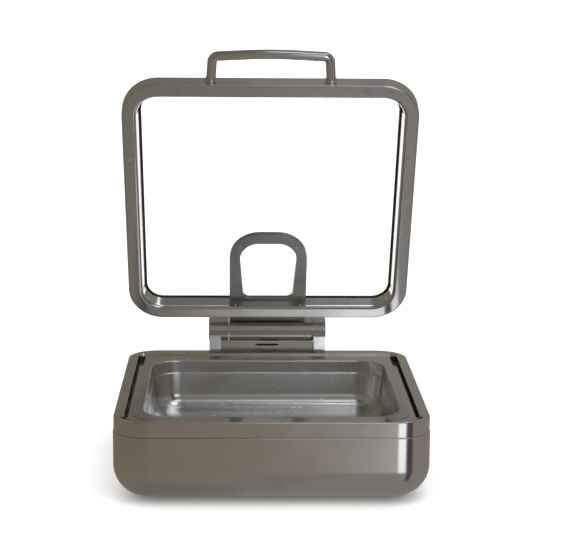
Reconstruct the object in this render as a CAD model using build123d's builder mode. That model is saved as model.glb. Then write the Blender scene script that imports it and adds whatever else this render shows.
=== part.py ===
from build123d import *
from math import cos, radians, sin
import os

os.makedirs("parts", exist_ok=True)

# Rectangular induction chafer: water pan, drop-in 2/3 size food pan, framed glass lid on a damped hinge.
# Millimetres, +Z up, +X to the right seen from the front, -Y to the front.
# Origin: centre of the water pan, on the surface the chafer stands on. The lid is modelled open.

# Body
body_width = 406.0
body_depth = 396.0
body_corner = 44.0
base_thick = 4.0
tub_bottom_round = 42.0
tub_shoulder_round = 2.0
tub_sheet = 1.2
seam_z = 90.5
body_top = 111.0
collar_inset = 2.2
collar_top = 103.0

# Top frame
band_inset = 0.8
frame_sheet = 1.0
rim_round = 3.0
deck_z = 109.0
deck_width = 376.0
deck_front = -180.0
deck_rear = 173.0
deck_corner = 8.0
groove_floor = 102.0
groove_inner = 183.0
groove_front = -168.0
pocket_inner = 178.0
pocket_front = 106.0
pocket_rear = 165.0

# Food pan, 2/3 gastronorm, 65 deep
pan_y = -16.0
pan_flange_width = 354.0
pan_flange_depth = 325.0
pan_flange_corner = 30.0
pan_mouth_width = 331.0
pan_mouth_depth = 302.0
pan_mouth_corner = 40.0
pan_sheet = 1.0
pan_deep = 65.0
pan_step_deep = 18.0
pan_step_in = 2.0
pan_taper = 8.0
pan_bottom_round = 22.0
pan_hole_gap = 2.0

# Hinge
axis_y = 233.0
axis_z = 135.0
barrel_radius = 18.0
barrel_half = 85.0
sleeve_half = 57.0
sleeve_bore = 15.0
shaft_radius = 6.0
running_gap = 0.05
end_gap = 0.4
leg_inner = 69.0
leg_outer = 86.0
plate_sheet = 3.3
shelf_thick = 6.0
shelf_rear = 260.0
recess_width = 36.0
recess_depth = 14.0
recess_deep = 4.0
flange_bottom = 52.0

# Lid, closed sizes
lid_angle = 65.0
lid_gap = 1.5
lid_width = 405.0
lid_length = 391.5
lid_corner = 50.0
lid_height = 25.0
lid_sheet = 1.0
lid_top_round = 6.0
rim_face = 20.0
wall_top_margin = 23.5
shelf_depth = 18.5
rebate_margin = 16.0
glass_margin = 17.5
glass_thick = 4.0
seal_margin = 26.0
seal_thick = 1.5

# Arch plates that grip the glass
arch_half = 56.0
arch_top = 140.0
arch_corner = 43.0
window_top = 124.2
window_bottom = 26.3
window_top_half = 42.9
window_bottom_half = 35.6
window_top_corner = 27.0
window_bottom_corner = 9.0
arm_drop = 6.0
arm_thick = 3.0
clamp_thick = 8.0
gasket_thick = 1.0
upper_screw_x = 40.4
upper_screw_s = 119.5
lower_screw_x = 47.5
lower_screw_d = 3.6

# Handle
handle_foot_x = 81.0
handle_corner_x = 78.6
handle_corner_rise = 37.2
handle_crown_rise = 41.6
handle_level = 12.0
handle_radius = 6.5
handle_bend = 9.0
handle_bow = 600.0

# The lid's own plane: origin on the hinge axis, local -y towards the handle, local +z out of the lid's top.
# Every lid size below is the closed one, and this plane carries it to the open position.
lid_turn = radians(lid_angle)
lid_plane = Plane(origin=(0, axis_y, axis_z), x_dir=(1, 0, 0), z_dir=(0, sin(lid_turn), cos(lid_turn)))
lid_setback = axis_y - lid_length / 2
axis_rise = axis_z - body_top - lid_gap
lid_along = Vector(0, -cos(lid_turn), sin(lid_turn))
glass_inner = lid_height - glass_thick


def lid_level(height):
    """Plane at a height above the rim face of the closed lid."""
    return lid_plane.offset(height - axis_rise)


def lid_y(distance):
    """Local y of a distance from the lid's rear edge towards the handle."""
    return -lid_setback - distance


def lid_point(x, distance, height):
    """Point of the open lid from its closed sizes."""
    return lid_plane.from_local_coords(Vector(x, lid_y(distance), height - axis_rise))


def rounded_block(
    width, depth, corner, low, high, plane=Plane.XY, centre_y=0.0, low_round=0.0, high_round=0.0
):
    """Block with rounded upright corners, and rounds on its lower and upper edges."""
    with BuildPart() as block:
        with BuildSketch(plane.offset(low)):
            with Locations((0, centre_y)):
                RectangleRounded(width, depth, corner)
        extrude(amount=high - low)
        upward = Axis(plane.origin, plane.z_dir)
        if low_round > 0:
            fillet(block.faces().sort_by(upward)[0].edges(), low_round)
        if high_round > 0:
            fillet(block.faces().sort_by(upward)[-1].edges(), high_round)
    return block.part


def lid_block(margin, low, high, **rounds):
    """Block as large as the lid less a margin all round, between two heights."""
    return rounded_block(
        lid_width - 2 * margin,
        lid_length - 2 * margin,
        lid_corner - margin,
        low - axis_rise,
        high - axis_rise,
        plane=lid_plane,
        centre_y=-axis_y,
        **rounds,
    )


def rod_x(radius, low, high, y=axis_y, z=axis_z):
    """Rod along X between two places."""
    with BuildPart() as rod:
        with BuildSketch(Plane.YZ.offset(low)):
            with Locations((y, z)):
                Circle(radius)
        extrude(amount=high - low)
    return rod.part


def rods(origins, direction, radius, length, sides=0):
    """Equal round or many-sided rods from several origins along one direction."""
    with BuildPart() as group:
        for origin in origins:
            with BuildSketch(Plane(origin=origin, x_dir=(1, 0, 0), z_dir=direction)):
                if sides:
                    RegularPolygon(radius, sides)
                else:
                    Circle(radius)
            extrude(amount=length)
    return group.part


# ---------------------------------------------------------------- fasteners used by several pieces
rear_wall = body_depth / 2
plate_back = rear_wall + plate_sheet
stiffener_thick = 2.0
nut_thick = 4.0
screw_radius = 2.5
head_radius = 4.5
head_thick = 3.0
wall_inside = rear_wall - tub_sheet

screw_showing = 1.0
plate_screw_x = 45.0
plate_screw_low = 60.0
plate_screw_high = 80.0

plate_screw_rows = (plate_screw_low, plate_screw_high)
plate_screw_places = [(x, z) for x in (-plate_screw_x, plate_screw_x) for z in plate_screw_rows]
plate_screw_start = wall_inside - stiffener_thick - nut_thick - screw_showing
with BuildPart() as base_plate_screws:
    add(rods([(x, plate_screw_start, z) for x, z in plate_screw_places], (0, 1, 0), screw_radius,
             plate_back - plate_screw_start))
    add(rods([(x, plate_back, z) for x, z in plate_screw_places], (0, 1, 0), head_radius, head_thick))
base_plate_screws.part.label = "base_plate_screws"
export_step(base_plate_screws.part, "parts/base_plate_screws.step")

block_screw_x = (leg_inner + leg_outer) / 2
block_screw_low = 68.0
block_screw_high = 92.0
block_screw_length = 14.0
block_screw_rows = (block_screw_low, block_screw_high)
block_screw_places = [(x, z) for x in (-block_screw_x, block_screw_x) for z in block_screw_rows]
block_head_thick = 2.0
with BuildPart() as block_screws:
    add(rods([(x, rear_wall, z) for x, z in block_screw_places], (0, 1, 0), head_radius, block_head_thick))
    add(rods([(x, rear_wall, z) for x, z in block_screw_places], (0, 1, 0), screw_radius,
             block_screw_length))
block_screws.part.label = "block_screws"
export_step(block_screws.part, "parts/block_screws.step")

# ---------------------------------------------------------------- water pan and its base
with BuildPart() as water_pan:
    add(rounded_block(body_width, body_depth, body_corner, base_thick, seam_z,
                      low_round=tub_bottom_round, high_round=tub_shoulder_round))
    add(rounded_block(body_width - 2 * collar_inset, body_depth - 2 * collar_inset, body_corner - collar_inset,
                      seam_z - 4, collar_top))
    add(rounded_block(body_width - 2 * tub_sheet, body_depth - 2 * tub_sheet, body_corner - tub_sheet,
                      base_thick + tub_sheet, seam_z - tub_sheet,
                      low_round=tub_bottom_round - tub_sheet, high_round=tub_shoulder_round - tub_sheet),
        mode=Mode.SUBTRACT)
    collar_hole = collar_inset + tub_sheet
    add(rounded_block(body_width - 2 * collar_hole, body_depth - 2 * collar_hole, body_corner - collar_hole,
                      seam_z - 8, collar_top + 1),
        mode=Mode.SUBTRACT)
    add(base_plate_screws.part, mode=Mode.SUBTRACT)
water_pan.part.label = "water_pan"
export_step(water_pan.part, "parts/water_pan.step")

base_disc_width = 290.0
base_disc_depth = 280.0
base_disc_corner = 60.0
with BuildPart() as induction_base:
    add(rounded_block(base_disc_width, base_disc_depth, base_disc_corner, 0, base_thick, low_round=1.5))
induction_base.part.label = "induction_base"
export_step(induction_base.part, "parts/induction_base.step")

# ---------------------------------------------------------------- top frame
deck_length = deck_rear - deck_front
deck_middle = (deck_rear + deck_front) / 2
band_width = body_width - 2 * band_inset
band_depth = body_depth - 2 * band_inset
band_corner = body_corner - band_inset
skirt_bottom = seam_z + 0.2
hole_width = pan_mouth_width + 2 * pan_hole_gap
hole_depth = pan_mouth_depth + 2 * pan_hole_gap
hole_corner = pan_mouth_corner + pan_hole_gap
lip_bottom = 98.0


def groove_cut(inner_side, low, front, rear):
    """Pair of upright channels along the sides, from an inner side out to the deck's edge."""
    with BuildPart() as cut:
        with BuildSketch(Plane.XY.offset(low)):
            for side in (-1, 1):
                with Locations((side * (inner_side + deck_width / 2) / 2, (front + rear) / 2)):
                    Rectangle(deck_width / 2 - inner_side, rear - front)
        extrude(amount=body_top + 1 - low)
    return cut.part


with BuildPart() as top_frame:
    add(rounded_block(band_width, band_depth, band_corner, skirt_bottom, body_top, high_round=rim_round))
    add(rounded_block(band_width - 2 * frame_sheet, band_depth - 2 * frame_sheet, band_corner - frame_sheet,
                      skirt_bottom - 1, body_top - frame_sheet, high_round=rim_round - frame_sheet),
        mode=Mode.SUBTRACT)
    # The well: its deck lies 2 below the rim, with the grooves and their drain pockets sunk into its sides.
    well_width = deck_width + 2 * frame_sheet
    add(rounded_block(well_width, deck_length + 2 * frame_sheet, deck_corner + frame_sheet,
                      groove_floor - frame_sheet, body_top, centre_y=deck_middle))
    add(rounded_block(deck_width, deck_length, deck_corner, deck_z, body_top + 1, centre_y=deck_middle),
        mode=Mode.SUBTRACT)
    add(groove_cut(groove_inner, groove_floor, groove_front, pocket_rear), mode=Mode.SUBTRACT)
    add(groove_cut(pocket_inner, groove_floor, pocket_front, pocket_rear), mode=Mode.SUBTRACT)
    under_width = 2 * (pocket_inner - frame_sheet)
    add(rounded_block(under_width, deck_length, deck_corner, groove_floor - 2, deck_z - frame_sheet,
                      centre_y=deck_middle),
        mode=Mode.SUBTRACT)
    add(rounded_block(hole_width + 2 * frame_sheet, hole_depth + 2 * frame_sheet, hole_corner + frame_sheet,
                      lip_bottom, deck_z, centre_y=pan_y))
    add(rounded_block(hole_width, hole_depth, hole_corner, lip_bottom - 1, body_top + 1, centre_y=pan_y),
        mode=Mode.SUBTRACT)
top_frame.part.label = "top_frame"
export_step(top_frame.part, "parts/top_frame.step")

# ---------------------------------------------------------------- food pan
pan_top = deck_z + pan_sheet
pan_step_z = pan_top - pan_step_deep
pan_bottom = pan_top - pan_deep


def pan_body(inset, floor_z, ceiling_z):
    """Upper band, stacking step and tapered bowl of the food pan, less an inset."""
    step_z = pan_step_z + inset
    with BuildPart() as bowl:
        add(rounded_block(pan_mouth_width - 2 * inset, pan_mouth_depth - 2 * inset, pan_mouth_corner - inset,
                          step_z, ceiling_z, centre_y=pan_y))
        with BuildSketch(Plane.XY.offset(step_z)):
            with Locations((0, pan_y)):
                RectangleRounded(pan_mouth_width - 2 * (pan_step_in + inset),
                                 pan_mouth_depth - 2 * (pan_step_in + inset),
                                 pan_mouth_corner - pan_step_in - inset)
        extrude(amount=floor_z - step_z, taper=pan_taper)
        fillet(bowl.faces().sort_by(Axis.Z)[0].edges(), pan_bottom_round - inset)
    return bowl.part


with BuildPart() as food_pan:
    add(rounded_block(pan_flange_width, pan_flange_depth, pan_flange_corner, deck_z, pan_top, centre_y=pan_y,
                      high_round=0.4))
    add(pan_body(0.0, pan_bottom - pan_sheet, pan_top - 0.5))
    add(pan_body(pan_sheet, pan_bottom, pan_top + 1), mode=Mode.SUBTRACT)
food_pan.part.label = "food_pan"
export_step(food_pan.part, "parts/food_pan.step")

# ---------------------------------------------------------------- hinge, fixed half
plate_corner = 6.0
recess_y = axis_y - 1.5
with BuildPart() as hinge_base_plate:
    with BuildSketch(Plane.XZ.offset(-rear_wall)):
        with Locations((0, (flange_bottom + body_top) / 2)):
            RectangleRounded(2 * leg_outer, body_top - flange_bottom, plate_corner)
    extrude(amount=-plate_sheet)
    with BuildSketch(Plane.XY.offset(body_top - shelf_thick)):
        with Locations((0, (plate_back + shelf_rear) / 2)):
            Rectangle(2 * leg_inner, shelf_rear - plate_back)
    extrude(amount=shelf_thick)
    with BuildSketch(Plane.XY.offset(body_top - recess_deep)):
        with Locations((0, recess_y)):
            SlotOverall(recess_width, recess_depth)
    extrude(amount=recess_deep, mode=Mode.SUBTRACT)
    add(base_plate_screws.part, mode=Mode.SUBTRACT)
    add(block_screws.part, mode=Mode.SUBTRACT)
hinge_base_plate.part.label = "hinge_base_plate"
export_step(hinge_base_plate.part, "parts/hinge_base_plate.step")

stiffener_width = 124.0
stiffener_height = 34.0
stiffener_corner = 5.0
with BuildPart() as hinge_backing_plate:
    with BuildSketch(Plane.XZ.offset(-wall_inside)):
        with Locations((0, (plate_screw_low + plate_screw_high) / 2)):
            RectangleRounded(stiffener_width, stiffener_height, stiffener_corner)
    extrude(amount=stiffener_thick)
    add(base_plate_screws.part, mode=Mode.SUBTRACT)
hinge_backing_plate.part.label = "hinge_backing_plate"
export_step(hinge_backing_plate.part, "parts/hinge_backing_plate.step")

nut_radius = 4.6
with BuildPart() as base_plate_nuts:
    add(rods([(x, wall_inside - stiffener_thick, z) for x, z in plate_screw_places], (0, -1, 0), nut_radius,
             nut_thick, sides=6))
    add(base_plate_screws.part, mode=Mode.SUBTRACT)
base_plate_nuts.part.label = "base_plate_nuts"
export_step(base_plate_nuts.part, "parts/base_plate_nuts.step")

set_screw_radius = 2.0
with BuildPart() as shaft_set_screws:
    set_screw_low = axis_z - barrel_radius + 1
    add(rods([(x, axis_y, set_screw_low) for x in (-block_screw_x, block_screw_x)], (0, 0, 1),
             set_screw_radius, axis_z - shaft_radius - set_screw_low + 0.3))
shaft_set_screws.part.label = "shaft_set_screws"
export_step(shaft_set_screws.part, "parts/shaft_set_screws.step")

with BuildPart() as hinge_shaft:
    add(rod_x(shaft_radius, -barrel_half + 2, barrel_half - 2))
    add(shaft_set_screws.part, mode=Mode.SUBTRACT)
hinge_shaft.part.label = "hinge_shaft"
export_step(hinge_shaft.part, "parts/hinge_shaft.step")


leg_bottom = 58.0
leg_shoulder = 108.5
leg_back_top = 104.0
leg_head_half = 16.9
leg_head_drop = 6.0
leg_toe = 8.0
leg_round = 5.0


def hinge_block(leg_low, knuckle_low, knuckle_high):
    """Leg that stands against the base plate, with its end knuckle of the barrel."""
    with BuildPart() as block:
        with BuildSketch(Plane.YZ.offset(leg_low)) as leg:
            with BuildLine():
                Polyline(
                    (plate_back, leg_bottom),
                    (plate_back, leg_shoulder),
                    (axis_y - leg_head_half, axis_z - leg_head_drop),
                    (axis_y + leg_head_half, axis_z - leg_head_drop),
                    (axis_y + leg_head_half, leg_back_top),
                    (axis_y - leg_toe, leg_bottom),
                    close=True,
                )
            make_face()
            fillet(leg.vertices().sort_by(Axis.Z)[:2], leg_round)
        extrude(amount=leg_outer - leg_inner)
        add(rod_x(barrel_radius, knuckle_low, knuckle_high))
        add(rod_x(shaft_radius, knuckle_low, knuckle_high), mode=Mode.SUBTRACT)
        add(rod_x(shaft_radius, leg_low, knuckle_high), mode=Mode.SUBTRACT)
        add(shaft_set_screws.part, mode=Mode.SUBTRACT)
        add(block_screws.part, mode=Mode.SUBTRACT)
    return block.part


with BuildPart() as hinge_block_left:
    add(hinge_block(-leg_outer, -barrel_half, -sleeve_half - end_gap))
    with BuildSketch(Plane.YZ.offset(-leg_outer)):
        with Locations((axis_y, axis_z)):
            Circle(barrel_radius + 2)
    extrude(amount=leg_outer - barrel_half, mode=Mode.SUBTRACT)
hinge_block_left.part.label = "hinge_block_left"
export_step(hinge_block_left.part, "parts/hinge_block_left.step")

collar_low = sleeve_half + end_gap
collar_high = 65.8
washer_high = 68.6
with BuildPart() as hinge_block_right:
    add(hinge_block(leg_inner, washer_high, barrel_half))
    with BuildSketch(Plane.YZ.offset(barrel_half)):
        with Locations((axis_y, axis_z)):
            Circle(barrel_radius + 2)
    extrude(amount=leg_outer - barrel_half, mode=Mode.SUBTRACT)
hinge_block_right.part.label = "hinge_block_right"
export_step(hinge_block_right.part, "parts/hinge_block_right.step")

with BuildPart() as spring_collar:
    add(rod_x(barrel_radius, collar_low, collar_high))
    add(rod_x(shaft_radius, collar_low, collar_high), mode=Mode.SUBTRACT)
    with BuildSketch(Plane.XZ.offset(-axis_y)):
        with Locations(((collar_low + collar_high) / 2, axis_z)):
            Circle(1.5)
    extrude(amount=barrel_radius + 1, mode=Mode.SUBTRACT)
spring_collar.part.label = "spring_collar"
export_step(spring_collar.part, "parts/spring_collar.step")

with BuildPart() as friction_washer:
    add(rod_x(barrel_radius - 0.7, collar_high, washer_high))
    add(rod_x(shaft_radius, collar_high, washer_high), mode=Mode.SUBTRACT)
friction_washer.part.label = "friction_washer"
export_step(friction_washer.part, "parts/friction_washer.step")


def end_cap(side):
    """Slightly domed cover of one barrel end, with a spigot in the shaft's bore."""
    with BuildPart() as cap:
        with BuildSketch(Plane.YZ.offset(side * barrel_half)):
            with Locations((axis_y, axis_z)):
                Circle(barrel_radius - 1)
        extrude(amount=side * 2.0)
        fillet(cap.faces().sort_by(Axis.X)[-1 if side > 0 else 0].edges(), 1.2)
        with BuildSketch(Plane.YZ.offset(side * barrel_half)):
            with Locations((axis_y, axis_z)):
                Circle(shaft_radius - 0.1)
        extrude(amount=-side * 1.9)
    return cap.part


with BuildPart() as end_cap_left:
    add(end_cap(-1))
end_cap_left.part.label = "end_cap_left"
export_step(end_cap_left.part, "parts/end_cap_left.step")

with BuildPart() as end_cap_right:
    add(end_cap(1))
end_cap_right.part.label = "end_cap_right"
export_step(end_cap_right.part, "parts/end_cap_right.step")

# Damper in the left half of the sleeve: its housing turns with the lid, its vane stays with the shaft.
damper_low = -48.5
damper_high = -6.0
damper_wall = 3.0
damper_bore = 11.0
rotor_hub = 8.4
vane_tip = 10.8
vane_angle = 90.0
stator_angle = 238.0


def wedge(radius_in, radius_out, middle, spread, low, high):
    """Sector of a ring about the hinge axis."""
    first = radians(middle - spread / 2)
    last = radians(middle + spread / 2)
    centre = radians(middle)
    with BuildPart() as piece:
        with BuildSketch(Plane.YZ.offset(low)):
            with BuildLine():
                inner_first = (axis_y + radius_in * cos(first), axis_z + radius_in * sin(first))
                inner_mid = (axis_y + radius_in * cos(centre), axis_z + radius_in * sin(centre))
                inner_last = (axis_y + radius_in * cos(last), axis_z + radius_in * sin(last))
                outer_first = (axis_y + radius_out * cos(first), axis_z + radius_out * sin(first))
                outer_mid = (axis_y + radius_out * cos(centre), axis_z + radius_out * sin(centre))
                outer_last = (axis_y + radius_out * cos(last), axis_z + radius_out * sin(last))
                ThreePointArc(inner_first, inner_mid, inner_last)
                Line(inner_last, outer_last)
                ThreePointArc(outer_last, outer_mid, outer_first)
                Line(outer_first, inner_first)
            make_face()
        extrude(amount=high - low)
    return piece.part


with BuildPart() as damper_housing:
    add(rod_x(sleeve_bore, damper_low, damper_high))
    add(rod_x(damper_bore, damper_low + damper_wall, damper_high - damper_wall), mode=Mode.SUBTRACT)
    add(rod_x(shaft_radius + running_gap, damper_low, damper_high), mode=Mode.SUBTRACT)
    add(wedge(rotor_hub + 0.3, damper_bore + 0.5, stator_angle, 36.0, damper_low + damper_wall,
              damper_high - damper_wall))
damper_housing.part.label = "damper_housing"
export_step(damper_housing.part, "parts/damper_housing.step")

with BuildPart() as damper_rotor:
    rotor_low = damper_low + damper_wall + 0.4
    rotor_high = damper_high - damper_wall - 0.4
    add(rod_x(rotor_hub, rotor_low, rotor_high))
    add(rod_x(shaft_radius, rotor_low, rotor_high), mode=Mode.SUBTRACT)
    add(wedge(rotor_hub - 0.5, vane_tip, vane_angle, 30.0, rotor_low, rotor_high))
damper_rotor.part.label = "damper_rotor"
export_step(damper_rotor.part, "parts/damper_rotor.step")

# Torsion spring in the right half of the sleeve.
spring_low = 2.0
spring_length = 40.0
spring_pitch = 5.0
spring_radius = 11.2
spring_wire = 1.3
with BuildPart() as torsion_spring:
    with BuildLine():
        coil = Helix(pitch=spring_pitch, height=spring_length, radius=spring_radius,
                     center=(spring_low, axis_y, axis_z), direction=(1, 0, 0))
    with BuildSketch(Plane(origin=coil @ 0, z_dir=coil % 0)):
        Circle(spring_wire)
    sweep(is_frenet=True)
torsion_spring.part.label = "torsion_spring"
export_step(torsion_spring.part, "parts/torsion_spring.step")

# ---------------------------------------------------------------- hinge, moving half
with BuildPart() as hinge_sleeve:
    add(rod_x(barrel_radius, -sleeve_half, sleeve_half))
    add(rod_x(sleeve_bore, -sleeve_half, sleeve_half), mode=Mode.SUBTRACT)
hinge_sleeve.part.label = "hinge_sleeve"
export_step(hinge_sleeve.part, "parts/hinge_sleeve.step")

bush_length = 8.0


def bush(low):
    """Bearing ring between sleeve and shaft."""
    with BuildPart() as ring:
        add(rod_x(sleeve_bore, low, low + bush_length))
        add(rod_x(shaft_radius + running_gap, low, low + bush_length), mode=Mode.SUBTRACT)
    return ring.part


with BuildPart() as bush_left:
    add(bush(-sleeve_half))
bush_left.part.label = "bush_left"
export_step(bush_left.part, "parts/bush_left.step")

with BuildPart() as bush_right:
    add(bush(sleeve_half - bush_length))
bush_right.part.label = "bush_right"
export_step(bush_right.part, "parts/bush_right.step")

# Screws through the arch plates and the glass.
upper_head_thick = 1.7
upper_head_radius = 3.0
upper_screw_radius = 1.5
clamp_low = glass_inner - gasket_thick - clamp_thick
arm_low = lid_height + gasket_thick
arm_high = arm_low + arm_thick
upper_places = [(-upper_screw_x, upper_screw_s), (upper_screw_x, upper_screw_s)]
with BuildPart() as upper_screws:
    with BuildSketch(lid_level(clamp_low)):
        with Locations(*[(x, lid_y(s)) for x, s in upper_places]):
            Circle(upper_screw_radius)
    extrude(amount=arm_high - clamp_low)
    with BuildSketch(lid_level(clamp_low)):
        with Locations(*[(x, lid_y(s)) for x, s in upper_places]):
            Circle(upper_head_radius)
    extrude(amount=-upper_head_thick)
upper_screws.part.label = "upper_screws"
export_step(upper_screws.part, "parts/upper_screws.step")

wall_lean = (wall_top_margin - rim_face) / shelf_depth
tab_thick = 1.0
lower_screw_radius = 1.5
lower_screw_length = 6.5
lower_head_radius = 2.6
lower_head_thick = 1.8
lower_head_seat = rim_face + wall_lean * lower_screw_d + tab_thick - 0.3
lower_places = [lid_point(x, lower_head_seat, lower_screw_d) for x in (-lower_screw_x, lower_screw_x)]
with BuildPart() as lower_screws:
    add(rods(lower_places, -lid_along, lower_screw_radius, lower_screw_length))
    add(rods(lower_places, lid_along, lower_head_radius, lower_head_thick))
lower_screws.part.label = "lower_screws"
export_step(lower_screws.part, "parts/lower_screws.step")

lower_nut_seat = rim_face - lid_sheet + 0.1
lower_nut_radius = 2.9
lower_nut_thick = 2.4
with BuildPart() as lower_screw_nuts:
    add(rods([lid_point(x, lower_nut_seat, lower_screw_d) for x in (-lower_screw_x, lower_screw_x)], -lid_along,
             lower_nut_radius, lower_nut_thick, sides=6))
    add(lower_screws.part, mode=Mode.SUBTRACT)
lower_screw_nuts.part.label = "lower_screw_nuts"
export_step(lower_screw_nuts.part, "parts/lower_screw_nuts.step")


def arch(low, high, foot, drop=0.0, inset=0.0):
    """Arch plate with its window, from a foot distance up to its rounded head.

    A drop lowers head and window, an inset trims the outline.
    """
    half = arch_half - inset
    head = arch_top - drop - inset
    sill = lid_y(window_bottom - drop)
    lintel = lid_y(window_top - drop)
    with BuildPart() as plate:
        with BuildSketch(lid_level(low)) as outline:
            with BuildLine():
                Polyline((-half, lid_y(foot)), (-half, lid_y(head)), (half, lid_y(head)), (half, lid_y(foot)),
                         close=True)
            make_face()
            fillet(outline.vertices().sort_by(Axis.Y)[:2], arch_corner - inset)
        extrude(amount=high - low)
        with BuildSketch(lid_level(low - 1)) as window:
            with BuildLine():
                Polyline((-window_top_half, lintel), (window_top_half, lintel), (window_bottom_half, sill),
                         (-window_bottom_half, sill), close=True)
            make_face()
            fillet(window.vertices().sort_by(Axis.Y)[:2], window_top_corner)
            fillet(window.vertices().sort_by(Axis.Y)[-2:], window_bottom_corner)
        extrude(amount=high - low + 2, mode=Mode.SUBTRACT)
    return plate.part


with BuildPart() as hinge_arm:
    add(arch(arm_low, arm_high, -lid_setback + barrel_radius - 1.5, drop=arm_drop))
    add(rod_x(barrel_radius, -sleeve_half, sleeve_half), mode=Mode.SUBTRACT)
    add(upper_screws.part, mode=Mode.SUBTRACT)
hinge_arm.part.label = "hinge_arm"
export_step(hinge_arm.part, "parts/hinge_arm.step")

with BuildPart() as arm_gasket:
    add(arch(lid_height, arm_low, lid_top_round + 1, drop=arm_drop))
    add(upper_screws.part, mode=Mode.SUBTRACT)
arm_gasket.part.label = "arm_gasket"
export_step(arm_gasket.part, "parts/arm_gasket.step")

plate_foot = seal_margin + 0.4
with BuildPart() as clamp_gasket:
    add(arch(glass_inner - gasket_thick, glass_inner, plate_foot, inset=0.8))
    add(upper_screws.part, mode=Mode.SUBTRACT)
clamp_gasket.part.label = "clamp_gasket"
export_step(clamp_gasket.part, "parts/clamp_gasket.step")

# Clamp plate: an arch against the glass, and a tab bent down over the frame's inner wall.
tab_low = 0.4
tab_high = shelf_depth - 0.2
with BuildPart() as clamp_plate:
    add(arch(clamp_low, tab_high, wall_top_margin + 0.1))
    add(arch(tab_high, clamp_low + clamp_thick, plate_foot))
    side_plane = Plane(origin=lid_point(-arch_half, 0, 0), x_dir=lid_along, z_dir=(1, 0, 0))
    tab_side = -1 if side_plane.y_dir.dot(lid_plane.z_dir) < 0 else 1
    with BuildSketch(side_plane):
        with BuildLine():
            Polyline(
                (rim_face + wall_lean * tab_low, tab_side * tab_low),
                (rim_face + wall_lean * tab_low + tab_thick, tab_side * tab_low),
                (rim_face + wall_lean * clamp_low + tab_thick, tab_side * clamp_low),
                (window_bottom, tab_side * clamp_low),
                (window_bottom, tab_side * tab_high),
                (rim_face + wall_lean * tab_high, tab_side * tab_high),
                close=True,
            )
        make_face()
    extrude(amount=2 * arch_half)
    add(upper_screws.part, mode=Mode.SUBTRACT)
    add(lower_screws.part, mode=Mode.SUBTRACT)
clamp_plate.part.label = "clamp_plate"
export_step(clamp_plate.part, "parts/clamp_plate.step")

glass_hole = 3.5
with BuildPart() as glass_bushes:
    with BuildSketch(lid_level(glass_inner)):
        with Locations(*[(x, lid_y(s)) for x, s in upper_places]):
            Circle(glass_hole)
            Circle(upper_screw_radius, mode=Mode.SUBTRACT)
    extrude(amount=glass_thick)
glass_bushes.part.label = "glass_bushes"
export_step(glass_bushes.part, "parts/glass_bushes.step")

# ---------------------------------------------------------------- lid
with BuildPart() as glass_panel:
    add(lid_block(glass_margin, glass_inner, lid_height))
    with BuildSketch(lid_level(glass_inner)):
        with Locations(*[(x, lid_y(s)) for x, s in upper_places]):
            Circle(glass_hole)
    extrude(amount=glass_thick, mode=Mode.SUBTRACT)
glass_panel.part.label = "glass_panel"
export_step(glass_panel.part, "parts/glass_panel.step")

with BuildPart() as glass_seal:
    add(lid_block(rebate_margin, glass_inner - seal_thick, lid_height - 0.4))
    add(lid_block(glass_margin, glass_inner, lid_height + 1), mode=Mode.SUBTRACT)
    add(lid_block(seal_margin, glass_inner - seal_thick - 1, glass_inner + 1), mode=Mode.SUBTRACT)
glass_seal.part.label = "glass_seal"
export_step(glass_seal.part, "parts/glass_seal.step")

# Handle screws, from inside the lid's front wall into the legs.
front_wall_inside = lid_length - lid_sheet
washer_thick = 1.5
washer_radius = 6.0
handle_screw_length = 16.0
foot_radius = 8.5
foot_thick = 4.0
feet = (-handle_foot_x, handle_foot_x)
with BuildPart() as handle_screws:
    screw_start = front_wall_inside - washer_thick
    add(rods([lid_point(x, screw_start, handle_level) for x in feet], lid_along, screw_radius,
             handle_screw_length))
    add(rods([lid_point(x, screw_start, handle_level) for x in feet], -lid_along, head_radius, head_thick))
handle_screws.part.label = "handle_screws"
export_step(handle_screws.part, "parts/handle_screws.step")

with BuildPart() as handle_washers:
    add(rods([lid_point(x, front_wall_inside, handle_level) for x in feet], -lid_along, washer_radius,
             washer_thick))
    add(handle_screws.part, mode=Mode.SUBTRACT)
handle_washers.part.label = "handle_washers"
export_step(handle_washers.part, "parts/handle_washers.step")

with BuildPart() as lid_outer_shell:
    add(lid_block(0.0, 0.0, lid_height, high_round=lid_top_round))
    add(lid_block(lid_sheet, -1.0, lid_height - lid_sheet, high_round=lid_top_round - lid_sheet),
        mode=Mode.SUBTRACT)
    add(lid_block(rebate_margin - lid_sheet, shelf_depth + lid_sheet, lid_height - lid_sheet / 2))
    add(lid_block(rebate_margin, shelf_depth, lid_height + 1), mode=Mode.SUBTRACT)
    add(handle_screws.part, mode=Mode.SUBTRACT)
lid_outer_shell.part.label = "lid_outer_shell"
export_step(lid_outer_shell.part, "parts/lid_outer_shell.step")


def lid_funnel(low_margin, high_margin, low, high):
    """Solid between two outlines of the lid, narrower at the glass than at the rim."""
    with BuildPart() as funnel:
        for margin, height in ((low_margin, low), (high_margin, high)):
            with BuildSketch(lid_level(height)):
                with Locations((0, -axis_y)):
                    RectangleRounded(lid_width - 2 * margin, lid_length - 2 * margin, lid_corner - margin)
        loft()
    return funnel.part


with BuildPart() as lid_inner_frame:
    add(lid_block(lid_sheet, 0.0, lid_sheet))
    add(lid_funnel(rim_face - lid_sheet, wall_top_margin - lid_sheet, 0.0, shelf_depth))
    add(lid_block(rebate_margin - lid_sheet, shelf_depth, shelf_depth + lid_sheet))
    add(lid_funnel(rim_face - 2 * wall_lean, wall_top_margin + wall_lean * 3, -2.0, shelf_depth + 3.0),
        mode=Mode.SUBTRACT)
    add(lower_screws.part, mode=Mode.SUBTRACT)
lid_inner_frame.part.label = "lid_inner_frame"
export_step(lid_inner_frame.part, "parts/lid_inner_frame.step")

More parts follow.
